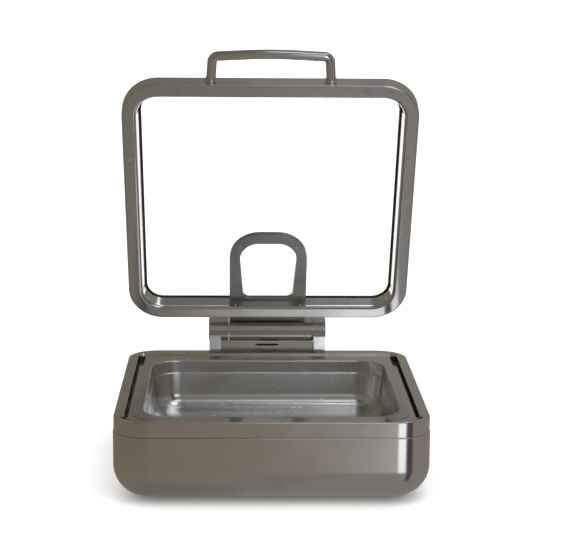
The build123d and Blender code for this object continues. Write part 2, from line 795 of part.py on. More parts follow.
# Bumpers on the rim face: two at the front, one at each side.
bumper_radius = 4.0
bumper_thick = lid_gap - 0.2
bumper_margin = rim_face / 2
bumper_front_x = 130.0
bumper_side_s = 274.0
bumper_places = [(side * bumper_front_x, lid_length - bumper_margin) for side in (-1, 1)]
bumper_places += [(side * (lid_width / 2 - bumper_margin), bumper_side_s) for side in (-1, 1)]
with BuildPart() as lid_bumpers:
    with BuildSketch(lid_level(0)):
        with Locations(*[(x, lid_y(s)) for x, s in bumper_places]):
            Circle(bumper_radius)
    extrude(amount=-bumper_thick)
lid_bumpers.part.label = "lid_bumpers"
export_step(lid_bumpers.part, "parts/lid_bumpers.step")

# Handle: a round bar bent into a low bow, with a collar at each foot.
with BuildPart() as lid_handle:
    with BuildLine(lid_level(handle_level)) as bow:
        FilletPolyline(
            (-handle_foot_x, lid_y(lid_length + 1)),
            (-handle_corner_x, lid_y(lid_length + handle_corner_rise)),
            (0, lid_y(lid_length + handle_crown_rise)),
            (handle_corner_x, lid_y(lid_length + handle_corner_rise)),
            (handle_foot_x, lid_y(lid_length + 1)),
            radius=[handle_bend, handle_bow, handle_bend],
        )
    with BuildSketch(Plane(origin=bow.line @ 0, z_dir=bow.line % 0)):
        Circle(handle_radius)
    sweep()
    add(rods([lid_point(x, lid_length, handle_level) for x in feet], lid_along, foot_radius, foot_thick))
    add(handle_screws.part, mode=Mode.SUBTRACT)
lid_handle.part.label = "lid_handle"
export_step(lid_handle.part, "parts/lid_handle.step")
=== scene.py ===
import math

import bmesh
import bpy
from mathutils import Matrix, Vector


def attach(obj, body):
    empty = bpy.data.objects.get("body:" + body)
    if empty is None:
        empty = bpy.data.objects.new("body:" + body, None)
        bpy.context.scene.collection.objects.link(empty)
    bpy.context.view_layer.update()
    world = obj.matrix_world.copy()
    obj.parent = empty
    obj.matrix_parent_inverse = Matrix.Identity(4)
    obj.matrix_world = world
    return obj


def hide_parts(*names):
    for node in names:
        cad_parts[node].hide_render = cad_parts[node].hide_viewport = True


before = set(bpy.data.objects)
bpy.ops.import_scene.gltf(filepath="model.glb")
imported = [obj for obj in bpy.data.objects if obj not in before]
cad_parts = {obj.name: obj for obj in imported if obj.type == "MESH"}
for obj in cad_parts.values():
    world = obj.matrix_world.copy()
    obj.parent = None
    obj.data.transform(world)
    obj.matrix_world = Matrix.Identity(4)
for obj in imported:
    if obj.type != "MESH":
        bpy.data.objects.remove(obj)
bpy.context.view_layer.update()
print("frame loaded:", len(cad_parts), "nodes")

# Sizes in the dictionaries are millimetres, angles are degrees, the scene is metres.
mm = 0.001


def shade(mesh, sharpAngle=38.0):
    mesh.shade_smooth()
    mesh.set_sharp_from_angle(angle=math.radians(sharpAngle))


def newObject(name, data):
    thing = bpy.data.objects.new(name, data)
    bpy.context.scene.collection.objects.link(thing)
    return thing


def finishMesh(name, mesh, material, sharpAngle=38.0):
    # one plain smooth-shaded object at the origin, its place is in its mesh
    mesh.name = name
    mesh.materials.clear()
    mesh.materials.append(material)
    shade(mesh, sharpAngle)
    return newObject(name, mesh)


def place(piece, body, slot, *nodes):
    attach(piece, body)
    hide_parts(*nodes)


def bakeModifiers(piece):
    # new plain mesh from the evaluated piece, then the modifiers go
    depsgraph = bpy.context.evaluated_depsgraph_get()
    mesh = bpy.data.meshes.new_from_object(piece.evaluated_get(depsgraph))
    piece.modifiers.clear()
    old = piece.data
    piece.data = mesh
    mesh.name = piece.name
    bpy.data.meshes.remove(old)
    return piece


def roundedOutline(width, depth, corner, centreY=0.0, arcSteps=20, ease=2.5):
    # anticlockwise from above, with one point just outside each end of each corner arc
    corner = max(corner, 0.5)
    ease = min(ease, 0.3 * min(width - 2 * corner, depth - 2 * corner) + 0.01)
    outline = []
    for turn, (sideX, sideY) in enumerate(((1, 1), (-1, 1), (-1, -1), (1, -1))):
        hubX = sideX * (width / 2 - corner)
        hubY = centreY + sideY * (depth / 2 - corner)
        first = math.pi / 2 * turn
        last = first + math.pi / 2
        outline.append((hubX + corner * math.cos(first) + ease * math.sin(first),
                        hubY + corner * math.sin(first) - ease * math.cos(first)))
        for step in range(arcSteps + 1):
            angle = first + math.pi / 2 * step / arcSteps
            outline.append((hubX + corner * math.cos(angle), hubY + corner * math.sin(angle)))
        outline.append((hubX + corner * math.cos(last) - ease * math.sin(last),
                        hubY + corner * math.sin(last) + ease * math.cos(last)))
    return outline


def levelRing(width, depth, corner, inset, height, centreY=0.0):
    # rounded rectangle, shrunk by its inset and laid level at its height
    outline = roundedOutline(width - 2 * inset, depth - 2 * inset, corner - inset, centreY)
    return [Vector((x, y, height)) * mm for x, y in outline]


def roundProfile(corners, closed=False, ease=0.7):
    # corners are (across, up, radius); each radius becomes an arc, with a point on the flat beside it
    path = []
    count = len(corners)
    fewest, most, density = 3, 22, 2.8  # steps in an arc
    for index, (across, up, radius) in enumerate(corners):
        atEnd = not closed and index in (0, count - 1)
        if radius <= 0 or atEnd:
            path.append((across, up))
            continue
        corner = Vector((across, up))
        before = Vector(corners[index - 1][:2]) - corner
        after = Vector(corners[(index + 1) % count][:2]) - corner
        toBefore, toAfter = before.normalized(), after.normalized()
        half = toBefore.angle(toAfter) / 2
        cut = radius / math.tan(half)
        hub = corner + (toBefore + toAfter).normalized() * (radius / math.sin(half))
        start, end = corner + toBefore * cut, corner + toAfter * cut
        spread = math.pi - 2 * half
        steps = max(fewest, min(most, int(fewest + density * math.sqrt(radius) * spread)))
        slack = min(ease, 0.35 * (before.length - cut), 0.35 * (after.length - cut))
        if slack > 0.02:
            path.append(tuple(start + toBefore * slack))
        for step in range(steps + 1):
            share = step / steps
            arm = (start - hub) * math.sin((1 - share) * spread) + (end - hub) * math.sin(share * spread)
            path.append(tuple(hub + arm / math.sin(spread)))
        if slack > 0.02:
            path.append(tuple(end + toAfter * slack))
    return path


def joinLoops(work, pairs):
    # faces between each two neighbouring loops of vertices
    for low, high in pairs:
        for index in range(len(low)):
            after = (index + 1) % len(low)
            work.faces.new((low[index], low[after], high[after], high[index]))


def skinRings(name, rings, material, closed=False, sharpAngle=38.0):
    # skin over rings of equal counts; a closed one joins its last ring to its first, an open one is capped
    work = bmesh.new()
    loops = [[work.verts.new(point) for point in ring] for ring in rings]
    joinLoops(work, zip(loops, loops[1:]))
    if closed:
        joinLoops(work, [(loops[-1], loops[0])])
    else:
        work.faces.new(loops[0])
        work.faces.new(loops[-1])
    bmesh.ops.remove_doubles(work, verts=work.verts, dist=1e-7)
    bmesh.ops.recalc_face_normals(work, faces=work.faces)
    mesh = bpy.data.meshes.new(name)
    work.to_mesh(mesh)
    work.free()
    return finishMesh(name, mesh, material, sharpAngle)


def latheX(name, profile, centre, material, segments=96, closed=False, sharpAngle=38.0):
    # profile of (radius, x) turned about an axis along X
    rings = []
    for radius, x in profile:
        ring = []
        for step in range(segments):
            angle = 2 * math.pi * step / segments
            y, z = centre[1] + radius * math.cos(angle), centre[2] + radius * math.sin(angle)
            ring.append(Vector((x, y, z)) * mm)
        rings.append(ring)
    return skinRings(name, rings, material, closed, sharpAngle)


def evenNormals(piece):
    # corner normals follow the large faces, so flats stay flat beside a rounded edge
    weigh = piece.modifiers.new("evenNormals", "WEIGHTED_NORMAL")
    weigh.keep_sharp = True
    weigh.weight = 100
    return bakeModifiers(piece)


def smoothCopy(node, name, material, edge=0.35, segments=2, sharpAngle=32.0, wide=None):
    # CAD node's merged copy, its coplanar triangles joined and its edges broken
    # wide is (test of an edge, width): the edges that get a larger round first
    work = bmesh.new()
    work.from_mesh(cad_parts[node].data)
    bmesh.ops.remove_doubles(work, verts=work.verts, dist=2e-6)
    bmesh.ops.dissolve_limit(work, angle_limit=math.radians(0.5), verts=work.verts, edges=work.edges)
    if wide:
        test, width = wide
        bmesh.ops.bevel(work, geom=[line for line in work.edges if test(line)], offset=width * mm, segments=5,
                        profile=0.5, affect="EDGES", clamp_overlap=True)
    mesh = bpy.data.meshes.new(name)
    work.to_mesh(mesh)
    work.free()
    piece = finishMesh(name, mesh, material, sharpAngle)
    steepest = 20.0  # degrees between faces, above which an edge is broken
    if edge > 0:
        bevel = piece.modifiers.new("edgeBreak", "BEVEL")
        bevel.width = edge * mm
        bevel.segments = segments
        bevel.limit_method = "ANGLE"
        bevel.angle_limit = math.radians(steepest)
        bakeModifiers(piece)
        shade(piece.data, sharpAngle)
    return evenNormals(piece)


# Node helpers for shader and geometry trees

def feed(tree, socket, value):
    # a link from another socket, or a plain value
    if isinstance(value, bpy.types.NodeSocket):
        tree.links.new(value, socket)
    else:
        socket.default_value = value


def addNode(tree, kind, inputs=None, **settings):
    node = tree.nodes.new(kind)
    for label, value in settings.items():
        setattr(node, label, value)
    for label, value in (inputs or {}).items():
        feed(tree, node.inputs[label], value)
    return node


def newTree(name, kind, inputs, outputs):
    # inputs are (label, default), or (label, kind of socket) for one without a default
    kinds = {tuple: "Vector", float: "Float", int: "Int"}
    tree = bpy.data.node_groups.new(name, kind + "NodeTree")
    for label, default in inputs:
        bare = isinstance(default, str)
        socketKind = "NodeSocket" + (default if bare else kinds[type(default)])
        socket = tree.interface.new_socket(label, in_out="INPUT", socket_type=socketKind)
        if not bare:
            socket.default_value = default
    for label, socketKind in outputs:
        tree.interface.new_socket(label, in_out="OUTPUT", socket_type="NodeSocket" + socketKind)
    return tree, tree.nodes.new("NodeGroupInput").outputs, tree.nodes.new("NodeGroupOutput").inputs


def mathNode(tree, operation, *values):
    node = addNode(tree, "ShaderNodeMath", operation=operation)
    for socket, value in zip(node.inputs, values):
        feed(tree, socket, value)
    return node.outputs[0]


def rangeNode(tree, value, start=(0.0, 1.0), end=(0.0, 1.0), smooth=False):
    # value between the two of start, given back between the two of end
    inputs = dict(zip(("Value", "From Min", "From Max", "To Min", "To Max"), (value, *start, *end)))
    kind = "SMOOTHSTEP" if smooth else "LINEAR"
    return addNode(tree, "ShaderNodeMapRange", inputs, interpolation_type=kind).outputs["Result"]


def mixColours(tree, factor, first, second, blend="MIX"):
    first, second = ((*value, 1.0) if isinstance(value, tuple) else value for value in (first, second))
    inputs = {"Factor": factor, "A": first, "B": second}
    return addNode(tree, "ShaderNodeMix", inputs, data_type="RGBA", blend_type=blend).outputs["Result"]


def objectPattern(tree, kind, size, **inputs):
    # texture on Object coordinates, its size set by the mapping alone
    coords = addNode(tree, "ShaderNodeTexCoord")
    mapping = addNode(tree, "ShaderNodeMapping", {"Vector": coords.outputs["Object"], "Scale": size})
    return addNode(tree, kind, {"Vector": mapping.outputs["Vector"], "Scale": 1.0, **inputs})


# Shader groups: each gives masks or heights that vary over the surface

def makeGrain():
    # fine polishing lines: noise drawn out along one direction
    inputs = [("Stretch", (40.0, 900.0, 900.0)), ("Depth", 1.0)]
    outputs = [("Height", "Float"), ("Mask", "Float")]
    group, given, result = newTree("polishingGrain", "Shader", inputs, outputs)
    lines = objectPattern(group, "ShaderNodeTexNoise", given["Stretch"], Detail=4.0, Roughness=0.62)
    noise = lines.outputs["Fac"]
    feed(group, result["Height"], mathNode(group, "MULTIPLY", noise, given["Depth"]))
    feed(group, result["Mask"], noise)
    return group


def makeHaze():
    # wiped film and finger haze in soft uneven clouds, and a few dried water spots
    inputs = [("Size", (9.0, 9.0, 9.0)), ("Spots", (95.0, 95.0, 95.0))]
    group, given, result = newTree("wipedHaze", "Shader", inputs, [("Haze", "Float"), ("Spot", "Float")])
    clouds = objectPattern(group, "ShaderNodeTexNoise", given["Size"], Detail=5.0, Roughness=0.55,
                           Distortion=0.6)
    feed(group, result["Haze"], rangeNode(group, clouds.outputs["Fac"], start=(0.36, 0.68), smooth=True))
    dots = objectPattern(group, "ShaderNodeTexVoronoi", given["Spots"], Randomness=1.0)
    feed(group, result["Spot"], rangeNode(group, dots.outputs["Distance"], start=(0.16, 0.08), smooth=True))
    return group


def makeSheetWave():
    # slow unevenness that drawn sheet keeps after polishing
    inputs = [("Size", (11.0, 11.0, 11.0)), ("Depth", 1.0)]
    group, given, result = newTree("drawnSheetWave", "Shader", inputs, [("Height", "Float")])
    wave = objectPattern(group, "ShaderNodeTexNoise", given["Size"], Detail=1.5, Roughness=0.4)
    feed(group, result["Height"], mathNode(group, "MULTIPLY", wave.outputs["Fac"], given["Depth"]))
    return group


grainGroup = makeGrain()
hazeGroup = makeHaze()
waveGroup = makeSheetWave()


def groupNode(tree, group, **inputs):
    return addNode(tree, "ShaderNodeGroup", inputs, node_tree=group).outputs


def newMaterial(name):
    material = bpy.data.materials.new(name)
    material.use_nodes = True
    return material, material.node_tree, material.node_tree.nodes["Principled BSDF"].inputs


def bumpNode(tree, height):
    inputs = {"Strength": 1.0, "Distance": 1.0 * mm, "Height": height}
    return addNode(tree, "ShaderNodeBump", inputs).outputs["Normal"]


def makeSteel(name, look):
    material, tree, shader = newMaterial(name)
    grain = groupNode(tree, grainGroup, Stretch=look["grainStretch"], Depth=look["grainDepth"])
    haze = groupNode(tree, hazeGroup)
    wave = groupNode(tree, waveGroup, Size=look["waveSize"], Depth=look["waveDepth"])
    clouds = rangeNode(tree, haze["Haze"], end=(look["roughness"], look["hazeRoughness"]))
    lines = rangeNode(tree, grain["Mask"], end=(-look["grainRoughness"], look["grainRoughness"]))
    spots = rangeNode(tree, haze["Spot"], end=(0.0, look["spotRoughness"]))
    feed(tree, shader["Metallic"], 1.0)
    feed(tree, shader["Base Color"], mixColours(tree, haze["Haze"], look["tint"], look["hazeTint"]))
    feed(tree, shader["Roughness"], mathNode(tree, "ADD", mathNode(tree, "ADD", clouds, lines), spots))
    feed(tree, shader["Normal"], bumpNode(tree, mathNode(tree, "ADD", grain["Height"], wave["Height"])))
    return material


steelLooks = {
    "polishedSteel": {
        "tint": (0.80, 0.78, 0.75), "hazeTint": (0.74, 0.72, 0.69),
        "roughness": 0.10, "hazeRoughness": 0.17, "spotRoughness": 0.03,
        "grainStretch": (60.0, 60.0, 1500.0), "grainDepth": 0.0012, "grainRoughness": 0.02,
        "waveSize": (9.0, 9.0, 13.0), "waveDepth": 0.22,
    },
    "lidSteel": {
        "tint": (0.80, 0.78, 0.75), "hazeTint": (0.73, 0.72, 0.70),
        "roughness": 0.12, "hazeRoughness": 0.20, "spotRoughness": 0.03,
        "grainStretch": (1200.0, 60.0, 60.0), "grainDepth": 0.0012, "grainRoughness": 0.02,
        "waveSize": (10.0, 10.0, 10.0), "waveDepth": 0.16,
    },
    "panSteel": {
        "tint": (0.80, 0.80, 0.79), "hazeTint": (0.74, 0.74, 0.73),
        "roughness": 0.17, "hazeRoughness": 0.26, "spotRoughness": 0.05,
        "grainStretch": (50.0, 1300.0, 300.0), "grainDepth": 0.004, "grainRoughness": 0.03,
        "waveSize": (14.0, 14.0, 14.0), "waveDepth": 0.16,
    },
    # dark dull steel: painted shade in the frame's grooves and in the base plate's recess
    "paintedShadeSteel": {
        "tint": (0.22, 0.21, 0.20), "hazeTint": (0.15, 0.145, 0.14),
        "roughness": 0.34, "hazeRoughness": 0.46, "spotRoughness": 0.05,
        "grainStretch": (900.0, 60.0, 900.0), "grainDepth": 0.004, "grainRoughness": 0.03,
        "waveSize": (14.0, 14.0, 14.0), "waveDepth": 0.05,
    },
    "archSteel": {
        "tint": (0.46, 0.445, 0.42), "hazeTint": (0.39, 0.38, 0.355),
        "roughness": 0.30, "hazeRoughness": 0.38, "spotRoughness": 0.02,
        "grainStretch": (70.0, 1400.0, 1400.0), "grainDepth": 0.006, "grainRoughness": 0.04,
        "waveSize": (12.0, 12.0, 12.0), "waveDepth": 0.04,
    },
    "castSteel": {
        "tint": (0.78, 0.77, 0.75), "hazeTint": (0.70, 0.69, 0.67),
        "roughness": 0.12, "hazeRoughness": 0.20, "spotRoughness": 0.02,
        "grainStretch": (60.0, 900.0, 900.0), "grainDepth": 0.002, "grainRoughness": 0.03,
        "waveSize": (30.0, 30.0, 30.0), "waveDepth": 0.04,
    },
    "baseSteel": {
        "tint": (0.60, 0.60, 0.59), "hazeTint": (0.50, 0.50, 0.49),
        "roughness": 0.28, "hazeRoughness": 0.40, "spotRoughness": 0.04,
        "grainStretch": (900.0, 900.0, 60.0), "grainDepth": 0.006, "grainRoughness": 0.05,
        "waveSize": (14.0, 14.0, 14.0), "waveDepth": 0.08,
    },
    "fastenerSteel": {
        "tint": (0.66, 0.66, 0.65), "hazeTint": (0.56, 0.56, 0.55),
        "roughness": 0.20, "hazeRoughness": 0.30, "spotRoughness": 0.02,
        "grainStretch": (700.0, 700.0, 700.0), "grainDepth": 0.003, "grainRoughness": 0.04,
        "waveSize": (40.0, 40.0, 40.0), "waveDepth": 0.01,
    },
    "springSteel": {
        "tint": (0.36, 0.35, 0.34), "hazeTint": (0.28, 0.27, 0.26),
        "roughness": 0.32, "hazeRoughness": 0.42, "spotRoughness": 0.02,
        "grainStretch": (500.0, 500.0, 500.0), "grainDepth": 0.004, "grainRoughness": 0.04,
        "waveSize": (40.0, 40.0, 40.0), "waveDepth": 0.01,
    },
}
steels = {name: makeSteel(name, look) for name, look in steelLooks.items()}


def makeMoulded(name, look):
    # rubber, silicone and moulded plastic: fine pebble in the surface, a film of dust, no metal
    material, tree, shader = newMaterial(name)
    grain = groupNode(tree, grainGroup, Stretch=(look["pebble"],) * 3, Depth=look["pebbleDepth"])
    haze = groupNode(tree, hazeGroup)["Haze"]
    feed(tree, shader["Base Color"], mixColours(tree, haze, look["tint"], look["dust"]))
    feed(tree, shader["Roughness"], rangeNode(tree, haze, end=(look["roughness"], look["dustRoughness"])))
    feed(tree, shader["Transmission Weight"], look["clear"])
    feed(tree, shader["Normal"], bumpNode(tree, grain["Height"]))
    return material


mouldedLooks = {
    "blackSilicone": {"tint": (0.012, 0.012, 0.013), "dust": (0.022, 0.021, 0.020), "roughness": 0.42,
                      "dustRoughness": 0.58, "pebble": 900.0, "pebbleDepth": 0.02, "clear": 0.0},
    "clearSilicone": {"tint": (0.62, 0.62, 0.60), "dust": (0.50, 0.50, 0.48), "roughness": 0.36,
                      "dustRoughness": 0.50, "pebble": 700.0, "pebbleDepth": 0.01, "clear": 0.35},
    "frostedSilicone": {"tint": (0.20, 0.20, 0.19), "dust": (0.16, 0.16, 0.15), "roughness": 0.36,
                        "dustRoughness": 0.50, "pebble": 700.0, "pebbleDepth": 0.01, "clear": 0.35},
    "bearingPlastic": {"tint": (0.70, 0.68, 0.62), "dust": (0.58, 0.56, 0.50), "roughness": 0.40,
                       "dustRoughness": 0.52, "pebble": 800.0, "pebbleDepth": 0.02, "clear": 0.0},
    "damperPlastic": {"tint": (0.03, 0.03, 0.032), "dust": (0.05, 0.05, 0.05), "roughness": 0.38,
                      "dustRoughness": 0.50, "pebble": 800.0, "pebbleDepth": 0.02, "clear": 0.0},
}
moulded = {name: makeMoulded(name, look) for name, look in mouldedLooks.items()}


def makeGlass(look):
    material, tree, shader = newMaterial("temperedGlass")
    haze = groupNode(tree, hazeGroup, Size=look["smearSize"])["Haze"]
    feed(tree, shader["Transmission Weight"], 1.0)
    feed(tree, shader["IOR"], look["ior"])
    feed(tree, shader["Base Color"], mixColours(tree, haze, look["tint"], look["smearTint"]))
    feed(tree, shader["Roughness"], rangeNode(tree, haze, end=(0.0, look["smearRoughness"])))
    return material


glassLook = {"ior": 1.5, "tint": (1.0, 1.0, 1.0), "smearTint": (0.985, 0.992, 0.988),
             "smearSize": (5.0, 5.0, 5.0), "smearRoughness": 0.015}
temperedGlass = makeGlass(glassLook)
print("materials made")


# Water pan and base

waterPanSizes = {
    "width": 406.0, "depth": 396.0, "corner": 44.0, "bottom": 4.0, "bottomRound": 42.0, "bottomRing": 48.0,
    "seam": 90.5, "shoulderRound": 2.0, "sheet": 1.2, "collarInset": 2.2, "collarTop": 103.0,
}


def bodyRings(sizes, path):
    # rings about the body's middle: path of (inset, height)
    return [levelRing(sizes["width"], sizes["depth"], sizes["corner"], *point) for point in path]


def makeWaterPan(sizes):
    sheet = sizes["sheet"]
    collarInside = sizes["collarInset"] + sheet
    path = roundProfile([
        (sizes["bottomRing"], sizes["bottom"], 0),
        (0.0, sizes["bottom"], sizes["bottomRound"]),
        (0.0, sizes["seam"], sizes["shoulderRound"]),
        (sizes["collarInset"], sizes["seam"], 0.0),
        (sizes["collarInset"], sizes["collarTop"], 0.4),
        (collarInside, sizes["collarTop"], 0.4),
        (collarInside, sizes["seam"] - sheet, 0.3),
        (sheet, sizes["seam"] - sheet, sizes["shoulderRound"] - sheet),
        (sheet, sizes["bottom"] + sheet, sizes["bottomRound"] - sheet),
        (sizes["bottomRing"], sizes["bottom"] + sheet, 0),
    ])
    return skinRings("waterPan", bodyRings(sizes, path), steels["polishedSteel"])


place(makeWaterPan(waterPanSizes), "base", "polished_steel", "water_pan")

baseDiscSizes = {
    "width": 290.0, "depth": 280.0, "corner": 60.0, "top": 4.0, "edge": 1.5, "innerRing": 56.0, "rings": 3,
    "ringInset": 8.0, "ringPitch": 16.0, "ringWide": 3.0, "ringSlope": 0.6, "ringDeep": 0.4,
}


def makeBaseDisc(sizes):
    # plate for the hob, with shallow pressed rings underneath
    corners = [(sizes["innerRing"], 0.0, 0)]
    for ring in range(sizes["rings"]):
        start = sizes["innerRing"] - sizes["ringInset"] - ring * sizes["ringPitch"]
        end = start - sizes["ringWide"]
        corners += [(start, 0.0, 0), (start - sizes["ringSlope"], sizes["ringDeep"], 0),
                    (end + sizes["ringSlope"], sizes["ringDeep"], 0), (end, 0.0, 0)]
    corners += [(0.0, 0.0, sizes["edge"]), (0.0, sizes["top"], 0), (sizes["innerRing"], sizes["top"], 0)]
    return skinRings("baseDisc", bodyRings(sizes, roundProfile(corners)), steels["baseSteel"])


place(makeBaseDisc(baseDiscSizes), "base", "base_steel", "induction_base")
print("water pan and base made")


# Top frame: rolled rim, sunk deck, side grooves with their drain pockets, mouth

topFrameSizes = {
    "width": 404.4, "depth": 394.4, "corner": 43.2, "skirtBottom": 90.7, "top": 111.0, "rimRound": 3.0,
    "rimWide": 8.0, "sheet": 1.0, "deckWidth": 376.0, "deckFront": -180.0, "deckRear": 173.0,
    "deckCorner": 8.0, "deck": 109.0, "holeWidth": 335.0, "holeDepth": 306.0, "holeCorner": 42.0,
    "holeY": -16.0, "lipBottom": 98.0, "underside": 101.0, "grooveIn": 183.0, "grooveFloor": 102.0,
    "grooveFront": -168.0, "grooveRear": 165.0, "grooveCorner": 2.4, "pocketIn": 178.0, "pocketFront": 106.0,
    "pocketCorner": 4.0, "wallClear": 0.02,
}


def makeTopFrame(sizes):
    sheet, top, deck = sizes["sheet"], sizes["top"], sizes["deck"]
    underside, lip, rimWide = sizes["underside"], sizes["lipBottom"], sizes["rimWide"]
    deckMiddle = (sizes["deckFront"] + sizes["deckRear"]) / 2
    deckDepth = sizes["deckRear"] - sizes["deckFront"]

    def deckRing(grow, height):
        return levelRing(sizes["deckWidth"], deckDepth, sizes["deckCorner"], -grow, height, deckMiddle)

    def holeRing(grow, height):
        return levelRing(sizes["holeWidth"], sizes["holeDepth"], sizes["holeCorner"], -grow, height,
                         sizes["holeY"])

    rings = bodyRings(sizes, roundProfile([
        (sheet, sizes["skirtBottom"], 0), (0.0, sizes["skirtBottom"], 0.35), (0.0, top, sizes["rimRound"]),
        (rimWide, top, 0)]))
    rings += [deckRing(*point) for point in roundProfile([
        (3.0, top, 0), (0.0, top, 0.6), (0.0, deck, 0.5), (-3.0, deck, 0)])]
    rings += [holeRing(*point) for point in roundProfile([
        (3.0, deck, 0), (0.0, deck, 0.9), (0.0, lip, 0), (sheet, lip, 0), (sheet, underside, 0)])]
    rings += [deckRing(sheet, underside), deckRing(sheet, top - sheet)]
    rings += bodyRings(sizes, roundProfile([
        (rimWide, top - sheet, 0), (sheet, top - sheet, sizes["rimRound"] - sheet),
        (sheet, sizes["skirtBottom"] + 1, 0)]))
    piece = skinRings("topFrame", rings, steels["polishedSteel"], closed=True)
    # second slot: the groove cutters pass their dark steel on to the cut walls and floors as painted shade
    piece.data.materials.append(steels["paintedShadeSteel"])
    outer, rear = sizes["deckWidth"] / 2 - sizes["wallClear"], sizes["grooveRear"]
    for side in (-1, 1):
        for part in ("groove", "pocket"):
            inner, front = sizes[part + "In"], sizes[part + "Front"]
            cutter = makeCutter(side * (inner + outer) / 2, (front + rear) / 2, outer - inner, rear - front,
                                sizes[part + "Corner"], sizes["grooveFloor"], top + 2)
            cut = piece.modifiers.new("grooveCut", "BOOLEAN")
            cut.operation = "DIFFERENCE"
            cut.solver = "EXACT"
            cut.material_mode = "TRANSFER"
            cut.object = cutter
            bakeModifiers(piece)
            bpy.data.objects.remove(cutter)
    shade(piece.data)
    return evenNormals(piece)


def makeCutter(centreX, centreY, width, depth, corner, low, high):
    outline = roundedOutline(width, depth, min(corner, width / 2 - 0.05), centreY, arcSteps=8, ease=0.3)
    rings = [[Vector((centreX + x, y, height)) * mm for x, y in outline] for height in (low, high)]
    return skinRings("grooveCutter", rings, steels["paintedShadeSteel"])


place(makeTopFrame(topFrameSizes), "base", "polished_steel", "top_frame")
print("top frame made")


# Food pan

foodPanSizes = {
    "centreY": -16.0, "flangeWidth": 354.0, "flangeDepth": 325.0, "flangeCorner": 30.0,
    "mouthWidth": 329.0, "mouthDepth": 300.0, "mouthCorner": 39.0, "mouthRound": 1.8, "top": 110.0,
    "sheet": 1.0, "deep": 65.0, "stepDeep": 18.0, "stepIn": 2.0, "taper": 8.0, "bottomRound": 21.0,
    "bottomRing": 24.0, "edgeRound": 0.45,
}


def makeFoodPan(sizes):
    top, sheet = sizes["top"], sizes["sheet"]
    lean = math.tan(math.radians(sizes["taper"]))
    step = top - sizes["stepDeep"]
    floor = top - sizes["deep"]
    inner = sizes["stepIn"]
    foot = inner + (step - floor) * lean
    middle = foot + sizes["bottomRing"]

    def rings(part, path):
        width, depth, corner = (sizes[part + label] for label in ("Width", "Depth", "Corner"))
        return [levelRing(width, depth, corner, *point, sizes["centreY"]) for point in roundProfile(path)]

    inside = rings("mouth", [
        (middle, floor, 0), (foot, floor, sizes["bottomRound"]), (inner, step, 1.0), (0.0, step, 1.2),
        (0.0, top, sizes["mouthRound"]), (-4.0, top, 0)])
    flange = rings("flange", [
        (3.0, top, 0), (0.0, top, sizes["edgeRound"]), (0.0, top - sheet, sizes["edgeRound"]),
        (3.0, top - sheet, 0)])
    outside = rings("mouth", [
        (-4.0, top - sheet, 0), (-sheet, top - sheet, sizes["mouthRound"] - sheet),
        (-sheet, step - sheet, 1.2), (inner - sheet, step - sheet, 1.0),
        (foot - sheet, floor - sheet, sizes["bottomRound"] + sheet), (middle, floor - sheet, 0)])
    return skinRings("foodPan", inside + flange + outside, steels["panSteel"])


place(makeFoodPan(foodPanSizes), "pan", "pan_steel", "food_pan")
print("food pan made")


# Lid: everything is laid out on the closed lid, then turned open about the hinge axis

lidSizes = {
    "width": 405.0, "length": 391.5, "corner": 50.0, "height": 25.0, "sheet": 1.0, "topRound": 6.0,
    "rimFace": 20.0, "wallTop": 23.5, "shelf": 18.5, "rebate": 16.0, "foldRound": 2.2,
    "rollRound": 5.0, "axisY": 233.0, "axisZ": 135.0, "openAngle": 65.0, "gap": 1.5, "bodyTop": 111.0,
}
lidSetback = lidSizes["axisY"] - lidSizes["length"] / 2
axisRise = lidSizes["axisZ"] - lidSizes["bodyTop"] - lidSizes["gap"]
openTurn = math.radians(lidSizes["openAngle"])
lidAlong = Vector((0.0, -math.cos(openTurn), math.sin(openTurn)))
lidOut = Vector((0.0, math.sin(openTurn), math.cos(openTurn)))
hingeAxis = Vector((0.0, lidSizes["axisY"], lidSizes["axisZ"]))


def lidPoint(x, distance, level):
    # distance from the lid's rear edge towards the handle, level above the rim face
    along = lidAlong * (lidSetback + distance)
    return (hingeAxis + Vector((x, 0.0, 0.0)) + along + lidOut * (level - axisRise)) * mm


def lidRings(path):
    rings = []
    middle = lidSizes["length"] / 2
    for margin, level in path:
        outline = roundedOutline(lidSizes["width"] - 2 * margin, lidSizes["length"] - 2 * margin,
                                 lidSizes["corner"] - margin, arcSteps=24)
        rings.append([lidPoint(x, middle + y, level) for x, y in outline])
    return rings


def makeLidShell(sizes):
    height, sheet, rebate = sizes["height"], sizes["sheet"], sizes["rebate"]
    path = roundProfile([
        (sizes["foldRound"], 0.0, 0), (0.0, 0.0, sizes["foldRound"] - 0.1), (0.0, height, sizes["topRound"]),
        (rebate, height, 0.6), (rebate, sizes["shelf"] + sheet, 0), (rebate - sheet, sizes["shelf"] + sheet, 0),
        (rebate - sheet, height - sheet, 0.3), (sheet, height - sheet, sizes["topRound"] - sheet),
        (sheet, sheet, 0.8), (sizes["foldRound"], sheet, 0)])
    return skinRings("lidShell", lidRings(path), steels["lidSteel"], closed=True)


def makeLidFrame(sizes):
    shelf, sheet = sizes["shelf"], sizes["sheet"]
    start = sizes["foldRound"] + 0.12
    lean = (sizes["wallTop"] - sizes["rimFace"]) / shelf
    path = roundProfile([
        (start, 0.0, 0.25), (sizes["rimFace"], 0.0, sizes["rollRound"]),
        (sizes["wallTop"] + lean * sheet, shelf + sheet, 0.35),
        (sizes["rebate"] - sheet, shelf + sheet, 0), (sizes["rebate"] - sheet, shelf, 0),
        (sizes["wallTop"] - 1.0, shelf, 0.3), (sizes["rimFace"] - 1.0, sheet, sizes["rollRound"] - sheet),
        (start, sheet, 0)], closed=True)
    return skinRings("lidInnerFrame", lidRings(path), steels["lidSteel"], closed=True)


place(makeLidShell(lidSizes), "lid", "polished_steel", "lid_outer_shell")
place(makeLidFrame(lidSizes), "lid", "polished_steel", "lid_inner_frame")

